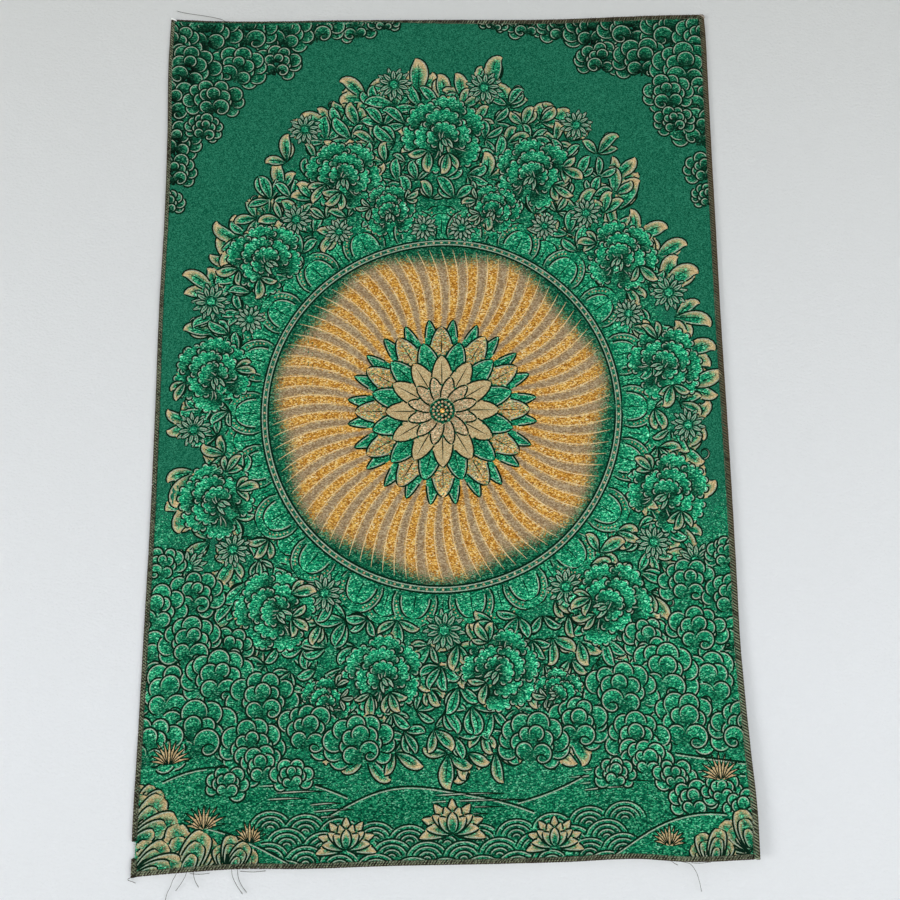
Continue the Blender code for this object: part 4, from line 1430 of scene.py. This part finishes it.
def on_panel(places):
    """True where a place lies inside the overlock's line."""
    return np.abs(held_on_panel(places) - places).max(axis=-1) < 1e-9


def corner_weights(cuts):
    """Weights of a quad's corners at the points of a cuts by cuts lattice on it:
    (1 - s)(1 - t), s (1 - t), s t and (1 - s) t."""
    s, t = [a.ravel()[:, None] for a in np.meshgrid(cuts, cuts, indexing="ij")]
    return np.concatenate([(1 - s) * (1 - t), s * (1 - t), s * t, (1 - s) * t], axis=1)


SAMPLES = corner_weights((np.arange(3) + 0.5) / 3)
LATTICE = corner_weights(np.arange(4) / 3)


def facing_viewer(places, faces):
    """The same quads, with those that run the wrong way round turned over."""
    first = places[faces[:, 2]] - places[faces[:, 0]]
    second = places[faces[:, 3]] - places[faces[:, 1]]
    area = first[:, 0] * second[:, 1] - first[:, 1] * second[:, 0]
    return np.where((area > 0)[:, None], faces[:, ::-1], faces)


def patch_arrays(number, grid, dyes, weaves, level):
    """Places, lifts, quads and looks of one patch. Nine samples of each quad are looked up on
    the chart: a quad that its form owns outright is kept, and one that it owns in part is cut
    into nine if it is large, of which the owned ones are kept."""
    faces = grid_faces(*grid.shape[:2])
    places = grid.reshape(-1, 2)
    looks = np.concatenate([dyes.reshape(-1, 4), weaves.reshape(-1, 2), np.zeros((len(places), 1))], axis=1)
    samples = np.einsum("sc,fcx->fsx", SAMPLES, places[faces])
    owned = (chart[square_of(samples)] == number) & on_panel(samples)
    share = owned.mean(axis=1)
    size = np.linalg.norm(places[faces[:, 2]] - places[faces[:, 0]], axis=1)
    cut = (share > 0) & (share < 1) & (size > CUT_SIZE)
    whole = np.where(size > CUT_SIZE, share == 1, share >= 0.45)
    pieces = np.einsum("sc,fcx->fsx", LATTICE, places[faces[cut]]).reshape(-1, 2)
    piece_looks = np.einsum("sc,fcx->fsx", LATTICE, looks[faces[cut]]).reshape(-1, 7)
    starts = len(places) + 16 * np.arange(cut.sum())[:, None, None]
    small = (grid_faces(4, 4)[None] + starts).reshape(-1, 4)[owned[cut].ravel()]
    places = held_on_panel(np.concatenate([places, pieces]))
    faces = facing_viewer(places, np.concatenate([faces[whole], small]))
    lift = np.full(len(places), PATCH_LIFT * level + 0.007 * (number % 5))
    return places, lift, faces, np.concatenate([looks, piece_looks])


def ridge_arrays(number, runs, half, ink):
    """Places, lifts, quads and looks of a stack of lines; hidden stretches are left out."""
    dye, weave, low, crown = INKS[ink]
    heading = unit(np.gradient(runs, axis=1))
    half = np.broadcast_to(half, runs.shape[:2])[..., None]
    side = np.stack([heading[..., 1], -heading[..., 0]], axis=-1) * half
    steps = np.array([-1.0, 0.0, 1.0] if crown else [-1.0, 1.0])
    places = runs[:, :, None] + side[:, :, None] * steps[:, None]
    seen = (chart[square_of(runs)] <= number) & on_panel(runs)
    k, i = np.nonzero(seen[:, :-1] & seen[:, 1:])
    wide = len(steps)
    first = (k * runs.shape[1] + i) * wide
    quad = np.array([0, wide, wide + 1, 1])
    faces = np.concatenate([first[:, None] + a + quad for a in range(wide - 1)])
    lift = np.zeros(places.shape[:3]) + low + crown * (1 - np.abs(steps))
    look = np.tile(np.array(dye + weave, float), (lift.size, 1))
    return held_on_panel(places.reshape(-1, 2)), lift.ravel(), faces, look


def lay_group(group):
    """One piece from all the patches and lines of a group."""
    parts = [patch_arrays(*p[1:]) for p in patches if p[0] == group]
    parts += [ridge_arrays(*r[1:]) for r in lines if r[0] == group]
    parts = [part for part in parts if len(part[2])]
    places, lift, faces, looks = zip(*parts)
    used, faces = np.unique(np.concatenate(renumber(places, faces)), return_inverse=True)
    faces = faces.reshape(-1, 4)
    places, lift, looks = [np.concatenate(rows)[used] for rows in (places, lift, looks)]
    points = on_cloth(places[:, 0], places[:, 1], lift)
    weave = np.concatenate([looks[:, 4:], np.zeros((len(looks), 1))], axis=1)
    piece = make_piece(group, points, faces, brocade_front, uv=places, dye=looks[:, :4], weave=weave)
    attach(piece, "root")
    return piece


figure_pieces = [lay_group(group) for group in sorted({p[0] for p in patches})]

# %% [markdown]
# ## The overlocked edges
#
# An overlock machine wraps each cut edge in thread. Every stitch is a loop that starts a few
# millimetres in, slants to the edge over the front, goes round it and comes back behind. Here
# each one is a flattened tube along such a path, two for every step of the machine: one of dark
# brown thread and one of tan. Where the two looper threads lock, short light loops stand in rows.
# A thread is a spun yarn, so its material has twisted plies, with painted shade in the furrows
# between them. Round the edge it is browner, and painted shade darkens it there.

# %% Spun thread
PLY_PITCH = 0.0011
FURROW_PAINTED_SHADE = (0.01, 0.012, 0.008, 1.0)
RUBBED = linear(96, 92, 70)


def spin_thread(name, dark, light, rust):
    """Matte spun yarn: the UV map runs along and round a thread, and plies slant across it, with
    painted shade in the furrows between them. The attribute `tone` holds how far the dark yarn
    goes over to the light one, and then to rust; it also holds painted shade where a stitch
    wraps round the edge."""
    material, tree, shader = new_material(name)
    paler, rusty = read_attribute(tree, "tone")[:2]
    place = add_node(tree, "SeparateXYZ", Vector=thread_places(tree))
    slant = math_node(tree, "MULTIPLY_ADD", place["Y"], 0.9, place["X"])
    ply = math_node(tree, "SINE", math_node(tree, "MULTIPLY", slant, 2 * math.pi / PLY_PITCH))
    ply = math_node(tree, "MULTIPLY_ADD", ply, 0.5, 0.5)
    colour = blend_colour(tree, paler, dark, light)
    colour = blend_colour(tree, rusty, colour, rust)
    # painted shade: the colour is darkened towards near-black in the furrows between the plies
    colour = blend_colour(tree, ply, blend_colour(tree, 0.35, colour, FURROW_PAINTED_SHADE), colour)
    worn = handled(tree, add_node(tree, "TexCoord")["Object"], 60.0, 0.18)
    feed(tree, shader, Base_Color=blend_colour(tree, worn, colour, RUBBED), Roughness=0.88,
         Specular_IOR_Level=0.15, Normal=bump(tree, ply, 0.5, 0.0002))
    return material


overlock_yarn = spin_thread("overlock_yarn", linear(20, 17, 12), linear(178, 190, 156), linear(96, 74, 50))


THREAD_SIDES = 5


def tube_arrays(path, out, wide, thick, sides=THREAD_SIDES):
    """Flattened tubes along a stack of paths (how many, points, 3). Section at each point:
    path + across * wide * cos + out * thick * sin, where across is heading x out."""
    across = unit(np.cross(np.gradient(path, axis=1), out))
    angle = 2 * math.pi * np.arange(sides) / sides
    wide = np.broadcast_to(wide, path.shape[:2])[..., None, None]
    thick = np.broadcast_to(thick, path.shape[:2])[..., None, None]
    flat = across[:, :, None] * np.cos(angle)[:, None] * wide
    points = path[:, :, None] + (flat + out[:, :, None] * np.sin(angle)[:, None] * thick)
    many, length = path.shape[:2]
    one = grid_faces(length, sides, wrap=True)
    starts = np.arange(many)[:, None] * length * sides
    walls = (one[None] + starts[..., None]).reshape(-1, 4)
    near = (np.arange(sides) + starts).reshape(-1, sides)
    far = (np.arange(sides)[::-1] + (length - 1) * sides + starts).reshape(-1, sides)
    steps = np.linalg.norm(np.diff(path, axis=1), axis=-1)
    along = np.concatenate([np.zeros((many, 1)), np.cumsum(steps, axis=1)], axis=1)
    uv = np.stack(np.broadcast_arrays(along[..., None], 0.7 * np.sin(angle)), axis=-1)
    return points.reshape(-1, 3), [walls, near, far], uv.reshape(-1, 2)


def join_tubes(parts):
    """Several sets of tube arrays as one: points, faces by size, uv, and a tone given as one
    pair (light, rust) or one per point."""
    points, faces, uv, tones = zip(*parts)
    faces = [sized for kind in zip(*faces) for sized in renumber(points, kind)]
    tone = np.concatenate([np.broadcast_to(pair, (len(rows), 2)) for pair, rows in zip(tones, points)])
    return np.concatenate(points), faces, np.concatenate(uv), np.tile(tone, (1, 2))


# %% Stitches round the four edges
STITCH_STEP = 2.9
EDGES = {  # start and end along the edge, slant, reach in front at both ends, how light and how
    # rusty the lighter thread is at both ends, and the depths of the rows of loops
    "left": ((0.6, 867.4), 0.8, (4.0, 4.9), (0.12, 0.12), (0.1, 0.0), (3.4, 1.7)),
    "left_end": ((884.0, 899.9), 0.8, (4.9, 5.6), (0.15, 0.15), (0.1, 0.1), (4.2, 2.8, 1.4)),
    "right": ((0.6, 899.4), 1.5, (5.8, 6.0), (0.92, 0.86), (0.5, 0.0), ()),
    "top": ((3.7, 593.9), 0.9, (1.8, 5.2), (0.0, 0.5), (0.0, 0.4), ()),
    "bottom": ((5.3, 593.8), -0.8, (4.8, 4.8), (0.12, 0.12), (0.0, 0.0), (3.6, 1.7)),
}
DARK_THREAD = (0.03, 0.03)  # how light the darker thread is at both ends
THREAD_THICK = 0.30
SKIN = CLOTH_THICKNESS / 2 + THREAD_THICK  # from the cloth's middle to a thread's on it
STITCH_WIDTHS = {"dark": 0.34, "light": 0.19}  # half widths as shares of a step


def along_edge(edge, along, depth, off):
    """The point at a distance along an edge, a depth in from it, and off the cloth's middle
    (towards the wall where positive)."""
    if edge in ("left", "right"):
        side = -1 if edge == "left" else 1
        u, v = side * (DESIGN_WIDTH / 2 - depth), along
    else:
        u, v = along - DESIGN_WIDTH / 2, depth if edge == "top" else DESIGN_HEIGHT - depth
    point = cloth_middle((u + DESIGN_WIDTH / 2) / DESIGN_WIDTH, v / DESIGN_HEIGHT)
    point[..., 1] += pucker(u, v) + off
    return point


def edge_share(span, along):
    """How far along its span each stitch is, 0 to 1."""
    return (along - span[0]) / (span[1] - span[0])


def between(ends, share):
    """The value at a share of the way from the first of two ends to the second."""
    return ends[0] + (ends[1] - ends[0]) * share


def stitch_set(edge, span, slant, reach, light, rust, thread):
    """One thread of every stitch: from reach in, over the front to the edge, round it and
    back behind. slant is how far it moves along meanwhile, in steps."""
    step, pale = STITCH_STEP, thread == "light"
    over = abs(slant) * step
    start = np.arange(span[0] + 0.25 * step - over * (slant < 0), span[1] + over * (slant > 0), step)
    start = start + (0.5 * step if pale else 0) + chance.normal(0, 0.06 * step, len(start))
    share = edge_share(span, start)
    front = between(reach, ease(0.3, 0.6, share)) + chance.normal(0, 0.22, len(start))
    front = (front + (0.5 if pale else -0.7))[:, None]
    raised = 0.14 if pale else 0.0
    depth = front * np.array([1.0, 0.55, 0, 0, 0, 0, 0]) + (0, 0, 1.0, 0.05, 0.05, 1.0, 5.6)
    front_off = [-SKIN - raised, -SKIN - 0.12 - raised, -SKIN - 0.06 - raised, -0.45 * SKIN - raised]
    off = np.broadcast_to([*front_off, 0.45 * SKIN + raised, SKIN + raised, SKIN], depth.shape)
    shift = np.array([-0.95, -0.5, -0.12, 0.05, 0.1, 0.2, 0.6]) * slant * step
    along = np.clip(start[:, None] + shift, span[0], span[1])
    path = along_edge(edge, along, depth, off)
    ahead = along_edge(edge, along, depth - 0.5, off)
    outside = np.array([0.0, 0.0, 0.15, 0.8, 0.8, 0.15, 0.0])[:, None]
    towards = np.array([-1.0, -1.0, -0.98, -0.6, 0.6, 0.98, 1.0])[:, None] * (0.0, 1.0, 0.0)
    out = unit(unit(ahead - path) * outside + towards)
    swell = np.array([0.55, 1.0, 1.0, 1.0, 1.0, 1.0, 0.6])
    tubes = tube_arrays(path, out, STITCH_WIDTHS[thread] * step * swell, THREAD_THICK * swell)
    light = between(light, ease(0.25, 0.65, share))
    paler = np.clip(light + chance.normal(0, 0.06 + 0.24 * pale, len(start)), 0, 1)[:, None]
    browner = between(rust, ease(0.55, 0.8, share))[:, None]
    # painted shade: the lighter thread is darkened at its ends, and most where it goes round the edge and
    # behind the cloth; the next line also makes it browner round the edge
    light = paler * np.array([0.6, 1.0, 0.85, 0.2, 0.2, 0.5, 0.8])
    rust = np.clip(browner * (0.4 + paler) + np.array([0.0, 0.0, 0.2, 0.5, 0.5, 0.2, 0.0]), 0, 1)
    return *tubes, np.repeat(np.stack([light, rust], axis=-1).reshape(-1, 2), THREAD_SIDES, axis=0)


def short_stitches(edge, start, shares, depth, heights, wide, thick, light):
    """Short stitches that lie on the front, each through one point per share of a step. light
    is one value per stitch, and there is a touch of rust."""
    along = start[:, None] + np.array(shares) * STITCH_STEP
    path = along_edge(edge, along, depth + 0 * along, -SKIN - np.array(heights) + 0 * along)
    tubes = tube_arrays(path, np.broadcast_to([0.0, -1.0, 0.0], path.shape), wide, thick)
    tone = np.stack([np.clip(light, 0, 1), 0.1 + 0 * light], axis=-1)
    return *tubes, np.repeat(tone, len(shares) * THREAD_SIDES, axis=0)


def loop_row(edge, span, depth, phase):
    """A row of short slanted loops at one depth in, light where the thread lies loose."""
    start = np.arange(span[0] + (0.9 + phase) * STITCH_STEP, span[1] - STITCH_STEP, STITCH_STEP)
    start = start + chance.normal(0, 0.07 * STITCH_STEP, len(start))
    inward = depth + np.array([-0.75, -0.25, 0.25, 0.75]) + chance.normal(0, 0.1, (len(start), 1))
    swell = np.array([0.45, 1.0, 1.0, 0.45])
    loose = 0.74 + 0.18 * np.sin(start / 37.0 + 1.0) + 0.14 * np.sin(start / 9.0)
    loose = loose + chance.normal(0, 0.24, len(start))
    return short_stitches(edge, start, (-0.34, -0.12, 0.12, 0.34), inward, (0.15, 0.42, 0.42, 0.15),
                          0.44 * swell, 0.30 * swell, loose)


def needle_line(edge, span, reach):
    """The straight line of short stitches along the overlock's inner side."""
    start = np.arange(span[0] + 1.0, span[1] - 1.2 * STITCH_STEP, STITCH_STEP)
    front = between(reach, ease(0.3, 0.6, edge_share(span, start)))[:, None] - 0.3
    light = 0.3 + chance.normal(0, 0.25, len(start))
    return short_stitches(edge, start, (0.05, 0.3, 0.7, 0.95), front, (0.0, 0.28, 0.28, 0.0),
                          0.26, 0.24, light)


for label, (span, slant, reach, light, rust, rows) in EDGES.items():
    edge = label.split("_")[0]
    sets = [stitch_set(edge, span, slant, reach, DARK_THREAD, rust, "dark"),
            stitch_set(edge, span, slant, reach, light, rust, "light")]
    sets += [loop_row(edge, span, depth, 0.5 * (number % 2)) for number, depth in enumerate(rows)]
    sets.append(needle_line(edge, span, reach))
    points, faces, uv, tone = join_tubes(sets)
    piece = make_piece(f"stitches_{label}", points, faces, overlock_yarn, uv=uv, tone=tone)
    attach(piece, "root")
    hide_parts(f"overlock_{label}")

# %% [markdown]
# ## Loose thread ends
#
# At the corners the machine leaves tails of thread, and nobody has trimmed them. Each tail is
# two plies that wind round each other along a smooth route, and open out at the tip. The routes
# are the CAD model's. A few short hairs stand up along the top edge, where the thread has worn.

# %% Tails, hairs and the frayed stretch
TAILS = (  # points as place along X, fall, off the wall
    ((-236, 5.9, 2.6), (-241, 3, 2.6), (-250, 0.2, 2.2), (-261, -2.4, 1.6),
     (-273, -4.6, 1.2), (-284, -6.8, 1), (-292, -8.9, 0.9)),
    ((-301.6, 902.3, 2.8), (-302.6, 904, 2.8), (-304.6, 904.9, 2.4), (-304.9, 906, 2),
     (-303, 906.9, 1.8), (-300.4, 907.8, 1.6), (-297.6, 909.1, 1.5)),
    ((-258.1, 899.6, 4.4), (-260, 903, 4), (-262.4, 907.2, 3.2), (-264.4, 912.6, 2.4),
     (-267.2, 918, 1.8), (-268.8, 924, 1.4), (-269.2, 929.5, 1.2)),
    ((-249, 899.2, 4.3), (-250.6, 903.6, 3.6), (-253.8, 909, 2.6), (-259.6, 917, 1.6)),
    ((-242.9, 898.9, 4.1), (-242.2, 903.8, 3.6), (-240.6, 908.8, 2.8), (-237.6, 914, 2)),
    ((-206.6, 897.6, 3.2), (-206.2, 902.6, 3), (-202.4, 911.6, 2.2), (-196, 921, 1.5)),
    ((-201.2, 897.5, 3.2), (-200.4, 905, 2.8), (-197.2, 912.6, 2.2), (-192.2, 919.4, 1.6)),
    ((213.4, 897.3, 7.3), (215.6, 899.2, 7), (220.2, 901.6, 6.4)),
    ((222, 898, 7.5), (226.4, 898.9, 7.3), (231.4, 900.6, 6.6), (236.8, 907.2, 5.4),
     (240.2, 917, 4.2), (242.2, 927, 3.2)),
    ((-245.8, 900.7, 4.6), (-236, 901.4, 4.7), (-226.9, 900.8, 4.4)),
    ((-198.5, 899.8, 3.5), (-186, 900.6, 3.8), (-173.8, 899.7, 4.2)),
    ((232.5, 899.5, 7.6), (242, 899.9, 7.8), (251.5, 898.8, 8)),
)
PLY_RADIUS = 0.15
PLY_TURN = 2.6  # how far along its route a ply goes round once
HAIRS = (  # how many, between which places along the top edge, longest, thickness, light and rust
    (60, 250, 590, 3.2, 0.11, (0.2, 0.4)),
    (150, 400, 598, 2.2, 0.16, (0.5, 0.55)),
    (110, 470, 598, 1.8, 0.18, (0.1, 0.9)),
)
FRAYED = np.linspace(868.6, 882.8, 15)  # places of the frayed ends along the bare stretch


def tail(route):
    """Two plies at half a turn: each circles the route at a radius that grows at the tip."""
    rows = np.array(route)
    knots = np.concatenate([[0], np.cumsum(np.linalg.norm(np.diff(rows, axis=0), axis=1))])
    along = np.linspace(0, knots[-1], int(knots[-1] / 0.55) + 3)
    x, fall, off = (smooth_through(knots, rows[:, k], along) for k in range(3))
    route_line = np.stack([x, WALL_SETBACK - off, -fall], axis=-1)
    heading = np.gradient(route_line, axis=0)
    side = unit(np.cross(heading, (0.0, 1.0, 0.0)))
    rise = unit(np.cross(side, heading))
    spread = PLY_RADIUS * (0.9 + 2.4 * ease(knots[-1] - 4.0, knots[-1], along))
    thin = PLY_RADIUS * (1 - 0.5 * ease(knots[-1] - 1.5, knots[-1], along))
    parts = []
    for half in (0, math.pi):
        angle = 2 * math.pi * along / PLY_TURN + half
        swing = side * (np.cos(angle) * spread)[:, None] + rise * (np.sin(angle) * spread)[:, None]
        path = (route_line + swing)[None]
        parts.append((*tube_arrays(path, np.broadcast_to(rise, path.shape), thin, thin), (0.12, 0.1)))
    return parts


def hairs(roots, headings, lengths, bends, thick, tone):
    """Short curved hairs that lie along the wall, as thin three-sided tubes."""
    s = np.linspace(0, 1, 6)
    turn = headings[:, None] + bends[:, None] * s
    step = np.stack([np.cos(turn), 0 * turn, -np.sin(turn)], axis=-1) * (lengths / 5)[:, None, None]
    path = roots[:, None] + np.cumsum(step, axis=1) - step[:, :1]
    out = np.broadcast_to([0.0, -1.0, 0.0], path.shape)
    thin = thick * (1 - 0.6 * s)
    return *tube_arrays(path, out, thin, thin, sides=3), tone


parts = [part for route in TAILS for part in tail(route)]
for count, low, high, longest, thick, tone in HAIRS:
    spots = chance.uniform(low, high, count)
    roots = along_edge("top", spots, 0 * spots + 0.3, chance.uniform(-0.5, 0.2, count))
    headings = chance.normal(-math.pi / 2, 0.9, count)
    lengths = chance.uniform(0.35, 1.0, count) * longest
    parts.append(hairs(roots, headings, lengths, chance.normal(0, 1.4, count), thick, tone))
spots = FRAYED + chance.normal(0, 0.2, 15)
roots = along_edge("left", spots, 0 * spots + 3.3, 0 * spots)
parts.append(hairs(roots, math.pi + chance.normal(0, 0.25, 15), chance.uniform(0.8, 2.6, 15),
                   chance.normal(0, 0.7, 15), 0.13, (0.7, 0.0)))
points, faces, uv, tone = join_tubes(parts)
loose_threads = make_piece("loose_threads", points, faces, overlock_yarn, uv=uv, tone=tone)
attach(loose_threads, "root")

# %% [markdown]
# ## The staples
#
# A staple is flat steel wire with two square bends. Its crown lies across the corner and its
# legs go through the cloth into the wall. The wire is carried along its route as a rounded
# section.

# %% Bent wire
STAPLE_CROWN, STAPLE_LEG, STAPLE_BEND = 6.6, 8.0, 0.6
STAPLE_WIDE, STAPLE_DEEP = 1.7, 0.7
CROWN_OFF_WALL = 3.3  # from the wall to the crown's back
WIRE_SIDES = 16
# painted light: the first of these steel colours is the dull tan painted shade of a staple in shade, the
# second the white of a lit one, partly a painted highlight
SHADED_STEEL, LIT_ZINC, OXIDE = linear(150, 122, 84), linear(255, 255, 252), linear(122, 110, 88)
STAPLES = {  # the crown's place across, its fall, its slope in degrees, and how brightly it is painted as lit: 1 is the white painted highlight, 0.3 a dull tan painted shade
    "staple_left": (-294.3, 3.2, -24.0, 1.0),
    "staple_right": (300.2, 0.2, -38.0, 0.3),
}


def bend_steel(name, painted_lighting):
    """Galvanised wire with drawn lines along it, and dull oxide in patches. Its colour goes from
    a dull tan painted shade to white as its second argument goes from 0 to 1; the white is partly
    bright zinc and partly a painted highlight, and the shaded copy gets more oxide.
    """
    material, tree, shader = new_material(name)
    place = add_node(tree, "TexCoord")["Object"]
    worn = handled(tree, place, 900.0)
    # painted light: one steel is blended from painted shade to painted highlight by how brightly it is lit
    bright = blend_colour(tree, painted_lighting, SHADED_STEEL, LIT_ZINC)
    oxide = math_node(tree, "MULTIPLY", worn, 0.5 * (1.2 - painted_lighting))
    drawn = add_node(tree, "TexNoise", Vector=place, Scale=2600.0)["Fac"]
    feed(tree, shader, Base_Color=blend_colour(tree, oxide, bright, OXIDE), Metallic=0.5,
         Roughness=math_node(tree, "MULTIPLY_ADD", worn, 0.25, 0.40 - 0.16 * painted_lighting),
         Normal=bump(tree, drawn, 0.2, 0.00005))
    return material


def staple_arrays(across, fall, slope):
    """The wire's middle line: down one leg, round a quarter bend, along the crown, and back.
    Section: a rounded rectangle |x/a|^4 + |y/b|^4 = 1."""
    lean = math.radians(slope)
    along = np.array([math.cos(lean), 0.0, math.sin(lean)])
    side = np.array([-math.sin(lean), 0.0, math.cos(lean)])
    crown_y = WALL_SETBACK - CROWN_OFF_WALL - STAPLE_DEEP / 2
    half = (STAPLE_CROWN - STAPLE_DEEP) / 2
    turn = np.linspace(0, math.pi / 2, 7)
    low = STAPLE_LEG - STAPLE_DEEP / 2
    bend = -half + STAPLE_BEND * (1 - np.cos(turn))
    u = np.concatenate([[-half, -half, -half], bend, np.linspace(-half + 1.2, 0, 5)])
    w = np.concatenate([[low, low * 0.7, low * 0.35], STAPLE_BEND * (1 - np.sin(turn)), np.zeros(5)])
    u, w = np.concatenate([u, -u[-2::-1]]), np.concatenate([w, w[-2::-1]])
    middle = np.array([across, crown_y, -fall]) + u[:, None] * along + w[:, None] * np.array([0.0, 1.0, 0.0])
    normal = np.cross(unit(np.gradient(middle, axis=0)), side)
    angle = np.linspace(0, 2 * math.pi, WIRE_SIDES + 1)[:-1]
    round_off = (np.abs(np.cos(angle)) ** 4 + np.abs(np.sin(angle)) ** 4) ** -0.25
    wide = np.cos(angle) * round_off * STAPLE_WIDE / 2
    deep = np.sin(angle) * round_off * STAPLE_DEEP / 2
    points = middle[:, None] + side * wide[:, None] + normal[:, None] * deep[:, None]
    cap = np.arange(WIRE_SIDES)[None]
    walls = grid_faces(len(middle), WIRE_SIDES, wrap=True)[:, ::-1]
    return points.reshape(-1, 3), [walls, cap[:, ::-1], cap + (len(middle) - 1) * WIRE_SIDES]


staple_pieces = []
for label, (*place, painted_lighting) in STAPLES.items():
    piece = make_piece(f"wire_{label}", *staple_arrays(*place), bend_steel(f"steel_{label}", painted_lighting))
    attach(piece, "root")
    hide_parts(label)
    staple_pieces.append(piece)
